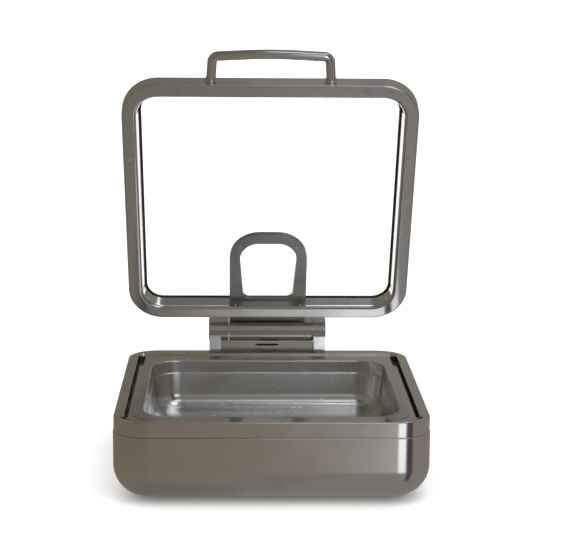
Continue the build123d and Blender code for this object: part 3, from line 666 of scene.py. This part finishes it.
glassSizes = {"margin": 17.5, "low": 21.0, "high": 25.0, "edge": 0.5, "middleRing": 30.0}


def makeGlassPane(sizes):
    path = roundProfile([
        (sizes["middleRing"], sizes["low"], 0), (sizes["margin"], sizes["low"], sizes["edge"]),
        (sizes["margin"], sizes["high"], sizes["edge"]), (sizes["middleRing"], sizes["high"], 0)])
    return skinRings("glassPane", lidRings(path), temperedGlass)


place(makeGlassPane(glassSizes), "lid", "clear_glass", "glass_panel")

sealSizes = {"outer": 16.0, "side": 17.5, "lip": 26.0, "low": 19.5, "bed": 21.0, "top": 24.6, "clear": 0.02}


def makeGlassSeal(sizes):
    bed, side = sizes["bed"] - sizes["clear"], sizes["side"] - sizes["clear"]
    path = roundProfile([
        (sizes["outer"], sizes["low"], 0.2), (sizes["lip"], sizes["low"], 0.6), (sizes["lip"], bed, 0.2),
        (side, bed, 0), (side, sizes["top"], 0.3), (sizes["outer"], sizes["top"], 0.3)], closed=True)
    return skinRings("glassSeal", lidRings(path), moulded["blackSilicone"], closed=True)


place(makeGlassSeal(sealSizes), "lid", "black_silicone", "glass_seal")
print("lid shell, frame, glass and seal made")


# Hinge

hingeSizes = {
    "radius": 18.0, "half": 85.0, "sleeveHalf": 57.0, "sleeveBore": 15.0, "shaft": 6.0, "edge": 0.5,
    "washerLow": 65.82, "washerHigh": 68.58, "washerRadius": 17.3, "washerEdge": 0.25,
    "capThick": 2.0, "capRadius": 17.0, "capSpigot": 5.9, "capDeep": 1.9, "capRound": 1.2, "capMiddle": 0.4,
}
hingeCentre = (0.0, lidSizes["axisY"], lidSizes["axisZ"])


def makeTurnedRing(name, outer, inner, low, high, edge, material):
    profile = roundProfile([(inner, low, 0.2), (outer, low, edge), (outer, high, edge), (inner, high, 0.2)],
                           closed=True, ease=0.8)
    return latheX(name, profile, hingeCentre, material, closed=True)


def makeEndCap(name, side, sizes):
    seat, out = side * sizes["half"], side * (sizes["half"] + sizes["capThick"])
    end = seat - side * sizes["capDeep"]
    profile = roundProfile([
        (sizes["capMiddle"], end, 0), (sizes["capSpigot"], end, 0), (sizes["capSpigot"], seat, 0),
        (sizes["capRadius"], seat, 0), (sizes["capRadius"], out, sizes["capRound"]),
        (sizes["capMiddle"], out, 0)])
    return latheX(name, profile, hingeCentre, steels["castSteel"])


place(makeTurnedRing("hingeSleeve", hingeSizes["radius"], hingeSizes["sleeveBore"], -hingeSizes["sleeveHalf"],
                     hingeSizes["sleeveHalf"], hingeSizes["edge"], steels["castSteel"]),
      "lid", "polished_steel", "hinge_sleeve")
place(makeTurnedRing("frictionWasher", hingeSizes["washerRadius"], hingeSizes["shaft"], hingeSizes["washerLow"],
                     hingeSizes["washerHigh"], hingeSizes["washerEdge"], steels["fastenerSteel"]),
      "base", "fastener_steel", "friction_washer")
place(makeEndCap("endCapLeft", -1, hingeSizes), "base", "polished_steel", "end_cap_left")
place(makeEndCap("endCapRight", 1, hingeSizes), "base", "polished_steel", "end_cap_right")

recessSizes = {"half": 18.3, "y": 231.5, "reach": 7.3, "floor": 106.9, "rim": 110.6}


def paintRecessShade(piece, sizes):
    # painted shade: the faces inside the shallow recess in the base plate's shelf get the dark steel
    piece.data.materials.append(steels["paintedShadeSteel"])
    for face in piece.data.polygons:
        x, y, z = face.center / mm
        inside = abs(x) < sizes["half"] and abs(y - sizes["y"]) < sizes["reach"]
        if inside and sizes["floor"] < z < sizes["rim"]:
            face.material_index = 1


clampSizes = {"face": 12.0, "edge": 1.5, "foot": 24.0, "screwX": 40.4, "screwAt": 119.5, "screwClear": 3.5}


def onClampFace(line):
    # outline and window edges of the arch's front face, but not its screw holes
    for vertex in line.verts:
        arm = vertex.co / mm - hingeAxis
        level = arm.dot(lidOut) + axisRise
        distance = arm.dot(lidAlong) - lidSetback
        nearScrew = math.hypot(abs(arm.x) - clampSizes["screwX"], distance - clampSizes["screwAt"])
        if abs(level - clampSizes["face"]) > 0.05 or distance < clampSizes["foot"]:
            return False
        if nearScrew < clampSizes["screwClear"]:
            return False
    return len(line.link_faces) == 2 and line.calc_face_angle(0.0) > 1.0


# Plates, blocks and gaskets that keep the frame's shape, with their edges broken:
# name, material, edge, its segments, body and slot
edgedNodes = {
    "spring_collar": ("springCollar", steels["castSteel"], 0.3, 2, "base", "polished_steel"),
    "hinge_block_left": ("hingeLegLeft", steels["castSteel"], 0.7, 3, "base", "polished_steel"),
    "hinge_block_right": ("hingeLegRight", steels["castSteel"], 0.7, 3, "base", "polished_steel"),
    "hinge_base_plate": ("hingeBasePlate", steels["lidSteel"], 0.5, 3, "base", "polished_steel"),
    "hinge_backing_plate": ("hingeBackingPlate", steels["baseSteel"], 0.3, 2, "base", "base_steel"),
    "hinge_arm": ("hingeArm", steels["archSteel"], 0.5, 3, "lid", "polished_steel"),
    "clamp_plate": ("clampPlate", steels["archSteel"], 0.0, 2, "lid", "polished_steel"),
    "arm_gasket": ("armGasket", moulded["clearSilicone"], 0.0, 2, "lid", "clear_silicone"),
    "clamp_gasket": ("clampGasket", moulded["clearSilicone"], 0.0, 2, "lid", "clear_silicone"),
}
for node, (name, material, edge, segments, body, slot) in edgedNodes.items():
    wide = (onClampFace, clampSizes["edge"]) if node == "clamp_plate" else None
    piece = smoothCopy(node, name, material, edge, segments, wide=wide)
    if node == "hinge_base_plate":
        paintRecessShade(piece, recessSizes)
    place(piece, body, slot, node)
print("hinge made")


# Geometry node trees for what repeats or follows a path

def coneNode(tree, sides, top, bottom, depth):
    inputs = {"Vertices": sides, "Radius Top": top, "Radius Bottom": bottom, "Depth": depth}
    return addNode(tree, "GeometryNodeMeshCone", inputs).outputs["Mesh"]


def raisedNode(tree, mesh, rise):
    lift = addNode(tree, "ShaderNodeCombineXYZ", {"Z": rise}).outputs[0]
    return addNode(tree, "GeometryNodeTransform", {"Geometry": mesh, "Translation": lift}).outputs["Geometry"]


def unionNode(tree, *meshes):
    node = addNode(tree, "GeometryNodeMeshBoolean", operation="UNION", solver="EXACT")
    for mesh in meshes:
        tree.links.new(mesh, node.inputs["Mesh 2"])
    return node.outputs["Mesh"]


def cutNode(tree, mesh, tool):
    return addNode(tree, "GeometryNodeMeshBoolean", {"Mesh 1": mesh, "Mesh 2": tool}, operation="DIFFERENCE",
                   solver="EXACT").outputs["Mesh"]


def paintOut(tree, given, result, geometry):
    # real mesh in the tree's own material
    real = addNode(tree, "GeometryNodeRealizeInstances", {"Geometry": geometry}).outputs["Geometry"]
    paint = addNode(tree, "GeometryNodeSetMaterial", {"Geometry": real, "Material": given["Material"]})
    feed(tree, result["Geometry"], paint.outputs["Geometry"])


def spreadOnPoints(tree, given, result, part):
    # the part on every point, its Z turned to Direction
    turn = addNode(tree, "FunctionNodeAlignRotationToVector", {"Vector": given["Direction"]}, axis="Z")
    spread = addNode(tree, "GeometryNodeInstanceOnPoints", {
        "Points": given["Geometry"], "Instance": part, "Rotation": turn.outputs["Rotation"]})
    paintOut(tree, given, result, spread.outputs["Instances"])


def makeScrewTree():
    # button head with a hexagon socket, on a plain shank
    tree, given, result = newTree("socketScrews", "Geometry", [
        ("Geometry", "Geometry"), ("Head Radius", 4.0 * mm), ("Head Height", 2.2 * mm), ("Crown", 0.72),
        ("Shank Radius", 2.0 * mm), ("Shank Length", 10.0 * mm), ("Socket Radius", 1.6 * mm),
        ("Socket Depth", 1.2 * mm), ("Direction", (0.0, 0.0, 1.0)), ("Material", "Material")],
        [("Geometry", "Geometry")])
    headRadius, headHeight = given["Head Radius"], given["Head Height"]
    crownRadius = mathNode(tree, "MULTIPLY", headRadius, given["Crown"])
    midRadius = mathNode(tree, "MULTIPLY", mathNode(tree, "ADD", headRadius, crownRadius), 0.53)
    skirt = mathNode(tree, "MULTIPLY", headHeight, 0.3)
    rest = mathNode(tree, "SUBTRACT", headHeight, skirt)
    lowRise = mathNode(tree, "MULTIPLY", rest, 0.6)
    highRise = mathNode(tree, "SUBTRACT", rest, lowRise)
    # the head: skirt, crown and flat top as stacked cones
    low = raisedNode(tree, coneNode(tree, 40, midRadius, headRadius, lowRise), skirt)
    high = raisedNode(tree, coneNode(tree, 40, crownRadius, midRadius, highRise),
                      mathNode(tree, "ADD", skirt, lowRise))
    head = unionNode(tree, coneNode(tree, 40, headRadius, headRadius, skirt), low, high)
    depth = mathNode(tree, "ADD", given["Socket Depth"], 0.5 * mm)
    socket = raisedNode(tree, coneNode(tree, 6, given["Socket Radius"], given["Socket Radius"], depth),
                        mathNode(tree, "SUBTRACT", headHeight, given["Socket Depth"]))
    shankRadius, length = given["Shank Radius"], given["Shank Length"]
    shank = raisedNode(tree, coneNode(tree, 24, shankRadius, shankRadius, length),
                       mathNode(tree, "MULTIPLY", length, -1.0))
    join = addNode(tree, "GeometryNodeJoinGeometry")
    for mesh in (cutNode(tree, head, socket), shank):
        tree.links.new(mesh, join.inputs["Geometry"])
    spreadOnPoints(tree, given, result, join.outputs["Geometry"])
    return tree


def makeDiscTree():
    # stacked disc with a bevelled top: bumpers, washers and nuts, by its number of sides and its hole
    tree, given, result = newTree("turnedDiscs", "Geometry", [
        ("Geometry", "Geometry"), ("Radius", 4.0 * mm), ("Height", 1.3 * mm), ("Bevel", 0.4 * mm),
        ("Hole", 0.0), ("Sides", 40), ("Direction", (0.0, 0.0, 1.0)), ("Material", "Material")],
        [("Geometry", "Geometry")])
    sides, radius, hole = given["Sides"], given["Radius"], given["Hole"]
    straight = mathNode(tree, "SUBTRACT", given["Height"], given["Bevel"])
    narrow = mathNode(tree, "SUBTRACT", radius, given["Bevel"])
    body = unionNode(tree, coneNode(tree, sides, radius, radius, straight),
                     raisedNode(tree, coneNode(tree, sides, narrow, radius, given["Bevel"]), straight))
    through = mathNode(tree, "ADD", given["Height"], 2.0 * mm)
    drill = raisedNode(tree, coneNode(tree, 32, hole, hole, through), -1.0 * mm)
    pick = addNode(tree, "GeometryNodeSwitch", {
        "Switch": mathNode(tree, "GREATER_THAN", hole, 0.01 * mm), "False": body,
        "True": cutNode(tree, body, drill)}, input_type="GEOMETRY")
    spreadOnPoints(tree, given, result, pick.outputs["Output"])
    return tree


def makeRodTree():
    # round rod along a path whose corners carry their own bend radius
    tree, given, result = newTree("bentRod", "Geometry", [
        ("Geometry", "Geometry"), ("Rod Radius", 6.5 * mm), ("Round Steps", 40), ("Bend Steps", 22),
        ("Material", "Material")], [("Geometry", "Geometry")])
    curve = addNode(tree, "GeometryNodeMeshToCurve", {"Mesh": given["Geometry"]}).outputs["Curve"]
    bend = addNode(tree, "GeometryNodeInputNamedAttribute", {"Name": "bend"}, data_type="FLOAT")
    fillet = addNode(tree, "GeometryNodeFilletCurve", mode="POLY")
    feed(tree, fillet.inputs["Curve"], curve)
    feed(tree, fillet.inputs["Count"], given["Bend Steps"])
    feed(tree, fillet.inputs["Radius"], bend.outputs["Attribute"])
    feed(tree, fillet.inputs["Limit Radius"], True)
    ring = addNode(tree, "GeometryNodeCurvePrimitiveCircle", {
        "Resolution": given["Round Steps"], "Radius": given["Rod Radius"]})
    tube = addNode(tree, "GeometryNodeCurveToMesh", {
        "Fill Caps": True, "Curve": fillet.outputs["Curve"], "Profile Curve": ring.outputs["Curve"]})
    paintOut(tree, given, result, tube.outputs["Mesh"])
    return tree


screwTree = makeScrewTree()
discTree = makeDiscTree()
rodTree = makeRodTree()


def runTree(name, tree, mesh, values, sharpAngle=34.0):
    piece = newObject(name, mesh)
    modifier = piece.modifiers.new("build", "NODES")
    modifier.node_group = tree
    sockets = {item.name: item.identifier for item in tree.interface.items_tree
               if item.item_type == "SOCKET" and item.in_out == "INPUT"}
    for label, value in values.items():
        modifier[sockets[label]] = value
    bakeModifiers(piece)
    work = bmesh.new()
    work.from_mesh(piece.data)
    bmesh.ops.remove_doubles(work, verts=work.verts, dist=1e-6)
    bmesh.ops.recalc_face_normals(work, faces=work.faces)
    work.to_mesh(piece.data)
    work.free()
    shade(piece.data, sharpAngle)
    return piece


def pathMesh(name, points, edges=()):
    mesh = bpy.data.meshes.new(name)
    mesh.from_pydata([tuple(point) for point in points], edges, [])
    return mesh


def bentPath(name, points, bends):
    # open path of points, each with the bend radius of its corner
    mesh = pathMesh(name, points, [(index, index + 1) for index in range(len(points) - 1)])
    mesh.attributes.new("bend", "FLOAT", "POINT").data.foreach_set("value", bends)
    return mesh


def addScrews(name, points, direction, sizes, body, node):
    values = {"Head Radius": sizes["head"] * mm, "Head Height": sizes["headHeight"] * mm,
              "Shank Radius": sizes["shank"] * mm, "Shank Length": sizes["length"] * mm,
              "Socket Radius": sizes["socket"] * mm, "Socket Depth": sizes["socketDepth"] * mm,
              "Crown": sizes["crown"], "Direction": tuple(direction), "Material": steels["fastenerSteel"]}
    place(runTree(name, screwTree, pathMesh(name, points), values), body, "fastener_steel", node)


def addDiscs(name, points, direction, sizes, body, node, material=steels["fastenerSteel"],
             slot="fastener_steel"):
    values = {"Radius": sizes["radius"] * mm, "Height": sizes["height"] * mm, "Bevel": sizes["bevel"] * mm,
              "Hole": sizes["hole"] * mm, "Sides": sizes["sides"], "Direction": tuple(direction),
              "Material": material}
    place(runTree(name, discTree, pathMesh(name, points), values), body, slot, node)


def lidPair(x, distance, level):
    return [lidPoint(side * x, distance, level) for side in (-1, 1)]


clampScrewSizes = {
    "x": 40.4, "distance": 119.5, "level": 12.0, "head": 3.0, "headHeight": 1.7, "crown": 0.72, "shank": 1.48,
    "length": 16.9, "socket": 1.1, "socketDepth": 1.0,
}
addScrews("clampScrews", lidPair(clampScrewSizes["x"], clampScrewSizes["distance"], clampScrewSizes["level"]),
          -lidOut, clampScrewSizes, "lid", "upper_screws")

tabScrewSizes = {
    "x": 47.5, "level": 3.6, "seat": 21.4, "head": 2.6, "headHeight": 1.8, "crown": 0.72, "shank": 1.48,
    "length": 6.5, "socket": 1.0, "socketDepth": 1.0,
}
addScrews("tabScrews", lidPair(tabScrewSizes["x"], tabScrewSizes["seat"], tabScrewSizes["level"]), lidAlong,
          tabScrewSizes, "lid", "lower_screws")

tabNutSizes = {"radius": 2.9, "height": 2.4, "bevel": 0.3, "hole": 1.5, "sides": 6, "seat": 19.1}
addDiscs("tabNuts", lidPair(tabScrewSizes["x"], tabNutSizes["seat"], tabScrewSizes["level"]), -lidAlong,
         tabNutSizes, "lid", "lower_screw_nuts")

legScrewSizes = {
    "x": 77.5, "heights": (68.0, 92.0), "seat": 200.0, "head": 4.48, "headHeight": 2.0, "crown": 0.76,
    "shank": 2.48, "length": 12.0, "socket": 1.7, "socketDepth": 1.1,
}
plateScrewSizes = {
    "x": 45.0, "heights": (60.0, 80.0), "seat": 201.3, "head": 4.5, "headHeight": 3.0, "crown": 0.72,
    "shank": 2.48, "length": 11.5, "socket": 1.7, "socketDepth": 1.6,
}
plateNutSizes = {"radius": 4.6, "height": 4.0, "bevel": 0.5, "hole": 2.5, "sides": 6, "seat": 194.8}


def wallPoints(sizes, seat):
    # four screw places on the rear wall
    return [Vector((side * sizes["x"], seat, height)) * mm for side in (-1, 1) for height in sizes["heights"]]


inward, outward = (0.0, -1.0, 0.0), (0.0, 1.0, 0.0)
addScrews("legScrews", wallPoints(legScrewSizes, legScrewSizes["seat"]), inward, legScrewSizes, "base",
          "block_screws")
addScrews("plateScrews", wallPoints(plateScrewSizes, plateScrewSizes["seat"]), outward, plateScrewSizes, "base",
          "base_plate_screws")
addDiscs("plateNuts", wallPoints(plateScrewSizes, plateNutSizes["seat"]), inward, plateNutSizes, "base",
         "base_plate_nuts")

handleSizes = {
    "footX": 81.0, "footRise": 1.0, "cornerX": 78.6, "cornerRise": 37.2, "crownRise": 41.6, "level": 12.0,
    "radius": 6.5, "cornerBend": 9.0, "crownBend": 600.0, "roundSteps": 48, "bendSteps": 26,
    "collarRadius": 8.5, "collarLow": 0.02, "collarHigh": 4.0, "collarSteps": 56, "collarMiddle": 0.4,
}


def makeHandle(sizes):
    length = lidSizes["length"]
    foot = (sizes["footX"], sizes["footRise"], 0.0)
    corner = (sizes["cornerX"], sizes["cornerRise"], sizes["cornerBend"])
    crown = (0.0, sizes["crownRise"], sizes["crownBend"])
    route = [(-x, rise, bend) for x, rise, bend in (foot, corner)] + [crown, corner, foot]
    path = bentPath("handlePath", [lidPoint(x, length + rise, sizes["level"]) for x, rise, bend in route],
                    [bend * mm for x, rise, bend in route])
    rod = runTree("lidHandle", rodTree, path, {
        "Rod Radius": sizes["radius"] * mm, "Round Steps": sizes["roundSteps"],
        "Bend Steps": sizes["bendSteps"], "Material": steels["castSteel"]})
    # turned collar at each foot
    profile = roundProfile([
        (sizes["collarMiddle"], sizes["collarLow"], 0), (sizes["collarRadius"], sizes["collarLow"], 0.3),
        (sizes["collarRadius"], sizes["collarHigh"], 1.3), (sizes["collarMiddle"], sizes["collarHigh"], 0)])
    turns = [2 * math.pi * step / sizes["collarSteps"] for step in range(sizes["collarSteps"])]
    spokes = [Vector((1, 0, 0)) * math.cos(turn) + lidOut * math.sin(turn) for turn in turns]
    work = bmesh.new()
    work.from_mesh(rod.data)
    for side in (-1, 1):
        loops = []
        for radius, rise in profile:
            foot = lidPoint(side * sizes["footX"], length + rise, sizes["level"])
            loops.append([work.verts.new(foot + spoke * radius * mm) for spoke in spokes])
        joinLoops(work, zip(loops, loops[1:]))
        work.faces.new(loops[0])
        work.faces.new(loops[-1])
    bmesh.ops.recalc_face_normals(work, faces=work.faces)
    work.to_mesh(rod.data)
    work.free()
    shade(rod.data)
    return rod


place(makeHandle(handleSizes), "lid", "polished_steel", "lid_handle")

handleScrewSizes = {
    "seat": 389.0, "head": 4.5, "headHeight": 3.0, "crown": 0.72, "shank": 2.48, "length": 16.0, "socket": 1.7,
    "socketDepth": 1.6,
}
handleWasherSizes = {"radius": 6.0, "height": 1.5, "bevel": 0.2, "hole": 2.5, "sides": 40, "seat": 390.5}
addScrews("handleScrews", lidPair(handleSizes["footX"], handleScrewSizes["seat"], handleSizes["level"]),
          -lidAlong, handleScrewSizes, "lid", "handle_screws")
addDiscs("handleWashers", lidPair(handleSizes["footX"], handleWasherSizes["seat"], handleSizes["level"]),
         -lidAlong, handleWasherSizes, "lid", "handle_washers")

bumperSizes = {"radius": 4.0, "height": 1.3, "bevel": 0.5, "hole": 0.0, "sides": 40,
               "places": ((-130.0, 381.5), (130.0, 381.5), (-192.5, 274.0), (192.5, 274.0))}
addDiscs("lidBumpers", [lidPoint(x, distance, 0.0) for x, distance in bumperSizes["places"]], -lidOut,
         bumperSizes, "lid", "lid_bumpers", moulded["frostedSilicone"], "clear_silicone")

springSizes = {
    "low": 2.0, "turns": 8, "pitch": 5.0, "radius": 11.2, "wire": 1.3, "steps": 40, "roundSteps": 12,
}


def makeSpring(sizes):
    points = []
    for step in range(sizes["turns"] * sizes["steps"] + 1):
        turn = 2 * math.pi * step / sizes["steps"]
        points.append((Vector((sizes["low"] + sizes["pitch"] * step / sizes["steps"], 0.0, 0.0)) + hingeAxis
                       + Vector((0.0, math.cos(turn), math.sin(turn))) * sizes["radius"]) * mm)
    path = bentPath("springPath", points, [0.0] * len(points))
    return runTree("torsionSpring", rodTree, path, {
        "Rod Radius": sizes["wire"] * mm, "Round Steps": sizes["roundSteps"], "Bend Steps": 1,
        "Material": steels["springSteel"]})


place(makeSpring(springSizes), "base", "spring_steel", "torsion_spring")
print("fasteners, handle, bumpers and spring made")

# CAD nodes that stay as they are, inside the barrel and between the plates
keptNodes = {
    "hinge_shaft": steels["castSteel"], "shaft_set_screws": steels["fastenerSteel"],
    "damper_rotor": moulded["damperPlastic"], "damper_housing": moulded["damperPlastic"],
    "bush_left": moulded["bearingPlastic"], "bush_right": moulded["bearingPlastic"],
    "glass_bushes": moulded["clearSilicone"],
}
for node, material in keptNodes.items():
    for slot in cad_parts[node].material_slots:
        slot.material = material


# Camera, floor and light

cameraSizes = {
    "place": (-0.04469, -2.26445, 0.69409), "lens": 106.94, "sensor": 36.0,
    "down": 10.66, "yaw": 1.71, "roll": 0.46,
}


def makeCamera(sizes):
    down, yaw, roll = (math.radians(sizes[key]) for key in ("down", "yaw", "roll"))
    forward = Vector((math.sin(yaw) * math.cos(down), math.cos(yaw) * math.cos(down), -math.sin(down)))
    right = Vector((math.cos(yaw), -math.sin(yaw), 0.0))
    up = right.cross(forward)
    tiltedRight = right * math.cos(roll) + up * math.sin(roll)
    tiltedUp = up * math.cos(roll) - right * math.sin(roll)
    camera = newObject("camera", bpy.data.cameras.new("camera"))
    camera.data.lens = sizes["lens"]
    camera.data.sensor_width = sizes["sensor"]
    camera.data.sensor_fit = "HORIZONTAL"
    camera.data.clip_start = 0.05
    matrix = Matrix((tiltedRight, tiltedUp, -forward)).transposed().to_4x4()
    matrix.translation = Vector(sizes["place"])
    camera.matrix_world = matrix
    bpy.context.scene.camera = camera


makeCamera(cameraSizes)

floorSizes = {
    "half": 6000.0, "tint": (0.93, 0.93, 0.925), "mottle": (0.91, 0.91, 0.905), "mottleSize": (2.0, 2.0, 2.0),
    "roughness": 0.9, "shine": 0.1,
}


def makeFloor(sizes):
    half = sizes["half"] * mm
    mesh = bpy.data.meshes.new("floor")
    corners = [(-half, -half, 0), (half, -half, 0), (half, half, 0), (-half, half, 0)]
    mesh.from_pydata(corners, [], [(0, 1, 2, 3)])
    material, tree, shader = newMaterial("paleFloor")
    haze = groupNode(tree, hazeGroup, Size=sizes["mottleSize"])["Haze"]
    feed(tree, shader["Roughness"], sizes["roughness"])
    feed(tree, shader["Specular IOR Level"], sizes["shine"])
    feed(tree, shader["Base Color"], mixColours(tree, haze, sizes["tint"], sizes["mottle"]))
    mesh.materials.append(material)
    floor = newObject("floor", mesh)
    floor.visible_glossy = False


makeFloor(floorSizes)

# One soft light: its place, what it faces, width and depth, strength and colour
lightSizes = {
    "place": (0.5, -0.4, 2.3), "aim": (0.0, 0.0, 0.1), "size": (2.0, 1.2), "power": 14.0,
    "tint": (0.97, 0.98, 1.0),
}


def makeLight(sizes):
    lamp = bpy.data.lights.new("overhead", "AREA")
    lamp.shape = "RECTANGLE"
    lamp.size, lamp.size_y = sizes["size"]
    lamp.energy = sizes["power"]
    lamp.color = sizes["tint"]
    holder = newObject("overhead", lamp)
    holder.location = sizes["place"]
    aim = Vector(sizes["aim"]) - Vector(sizes["place"])
    holder.rotation_euler = aim.to_track_quat("-Z", "Y").to_euler()
    holder.visible_camera = False
    holder.visible_glossy = False


makeLight(lightSizes)

# The steel mirrors a plain room. Its tones go by elevation, and its windows, strips and dark corners are soft
# patches by azimuth and elevation in degrees, with azimuth 0 in front and positive to the right.
room = {
    "backdrop": 1.45, "lateDepth": 2.5,
    "tones": [
        (-90.0, (0.17, 0.16, 0.14)), (-58.0, (0.185, 0.170, 0.145)), (-30.0, (0.195, 0.175, 0.142)),
        (-15.0, (0.196, 0.164, 0.122)), (0.0, (0.18, 0.155, 0.12)), (25.0, (0.175, 0.16, 0.125)),
        (50.0, (0.20, 0.185, 0.16)), (70.0, (0.15, 0.145, 0.14)), (90.0, (0.16, 0.16, 0.16)),
    ],
    "rightGain": (1.28, 1.33, 1.56), "rightFrom": -6.0, "rightTo": 9.0,
    "patches": [
        {"azimuth": (7.3, 30.0), "elevation": (-21.0, 25.0), "soft": (3.2, 4.0), "tone": (1.12, 1.16, 1.28)},
        {"azimuth": (34.0, 54.0), "elevation": (-50.0, 60.0), "soft": (3.0, 8.0), "tone": (0.075, 0.056, 0.05)},
        {"azimuth": (1.2, 70.0), "elevation": (54.0, 69.0), "soft": (1.8, 2.0), "tone": (1.12, 1.15, 1.25)},
        {"azimuth": (-70.0, -4.0), "elevation": (50.0, 72.0), "soft": (8.0, 3.0), "tone": (0.10, 0.085, 0.075)},
    ],
}


def makePatchGroup():
    # soft rectangle between two azimuths and two elevations
    group, given, result = newTree("softPatch", "Shader", [
        ("Azimuth", 0.0), ("Elevation", 0.0), ("West", 0.0), ("East", 1.0), ("Low", 0.0), ("High", 1.0),
        ("Side Soft", 1.0), ("Level Soft", 1.0)], [("Mask", "Float")])

    def step(value, edge, soft, end):
        # end is what it gives before and after the edge
        low = mathNode(group, "SUBTRACT", given[edge], given[soft])
        high = mathNode(group, "ADD", given[edge], given[soft])
        return rangeNode(group, given[value], (low, high), end, smooth=True)

    rising, falling = (0.0, 1.0), (1.0, 0.0)
    across = mathNode(group, "MULTIPLY", step("Azimuth", "West", "Side Soft", rising),
                      step("Azimuth", "East", "Side Soft", falling))
    upward = mathNode(group, "MULTIPLY", step("Elevation", "Low", "Level Soft", rising),
                      step("Elevation", "High", "Level Soft", falling))
    feed(group, result["Mask"], mathNode(group, "MULTIPLY", across, upward))
    return group


def makeWorld(sizes):
    world = bpy.data.worlds.new("room")
    bpy.context.scene.world = world
    world.use_nodes = True
    # found by rays alone, because a ray aimed at it as a lamp would not count as mirrored
    world.cycles.sampling_method = "NONE"
    tree = world.node_tree
    tree.nodes.clear()
    coords = addNode(tree, "ShaderNodeTexCoord").outputs["Generated"]
    x, y, z = addNode(tree, "ShaderNodeSeparateXYZ", {0: coords}).outputs
    toDegrees = 180 / math.pi
    towards = mathNode(tree, "MULTIPLY", y, -1.0)
    azimuth = mathNode(tree, "MULTIPLY", mathNode(tree, "ARCTAN2", x, towards), toDegrees)
    elevation = mathNode(tree, "MULTIPLY", mathNode(tree, "ARCSINE", z), toDegrees)
    ramp = addNode(tree, "ShaderNodeValToRGB", {"Fac": rangeNode(tree, elevation, (-90.0, 90.0))})
    for index, (rise, tone) in enumerate(sizes["tones"]):
        at = (rise + 90.0) / 180.0
        stop = ramp.color_ramp.elements[index] if index < 2 else ramp.color_ramp.elements.new(at)
        stop.position = at
        stop.color = (*tone, 1.0)
    right = rangeNode(tree, azimuth, (sizes["rightFrom"], sizes["rightTo"]), smooth=True)
    gain = mixColours(tree, right, (1.0, 1.0, 1.0), sizes["rightGain"])
    tone = mixColours(tree, 1.0, ramp.outputs["Color"], gain, "MULTIPLY")
    patchGroup = makePatchGroup()
    for patch in sizes["patches"]:
        (west, east), (low, high), (sideSoft, levelSoft) = patch["azimuth"], patch["elevation"], patch["soft"]
        mask = addNode(tree, "ShaderNodeGroup", {
            "Azimuth": azimuth, "Elevation": elevation, "West": west, "East": east, "Low": low, "High": high,
            "Side Soft": sideSoft, "Level Soft": levelSoft}, node_tree=patchGroup).outputs["Mask"]
        tone = mixColours(tree, mask, tone, patch["tone"])
    mirrored = addNode(tree, "ShaderNodeBackground", {"Color": tone}).outputs[0]
    white = (1.0, 1.0, 1.0, 1.0)
    plain = addNode(tree, "ShaderNodeBackground", {"Color": white, "Strength": sizes["backdrop"]})
    # a mirrored ray sees the room, and so does one that passes the glass after some bounces;
    # all others see the plain backdrop, also straight through the glass
    path = addNode(tree, "ShaderNodeLightPath").outputs
    notThrough = mathNode(tree, "SUBTRACT", 1.0, path["Is Transmission Ray"])
    deep = mathNode(tree, "GREATER_THAN", path["Ray Depth"], sizes["lateDepth"])
    late = mathNode(tree, "MULTIPLY", path["Is Transmission Ray"], deep)
    early = mathNode(tree, "MULTIPLY", path["Is Glossy Ray"], notThrough)
    inMirror = mathNode(tree, "MAXIMUM", early, late)
    mix = addNode(tree, "ShaderNodeMixShader", {0: inMirror, 1: plain.outputs[0], 2: mirrored})
    addNode(tree, "ShaderNodeOutputWorld", {"Surface": mix.outputs[0]})


makeWorld(room)
bpy.context.scene.view_settings.view_transform = "Standard"
print("camera, floor and light set")
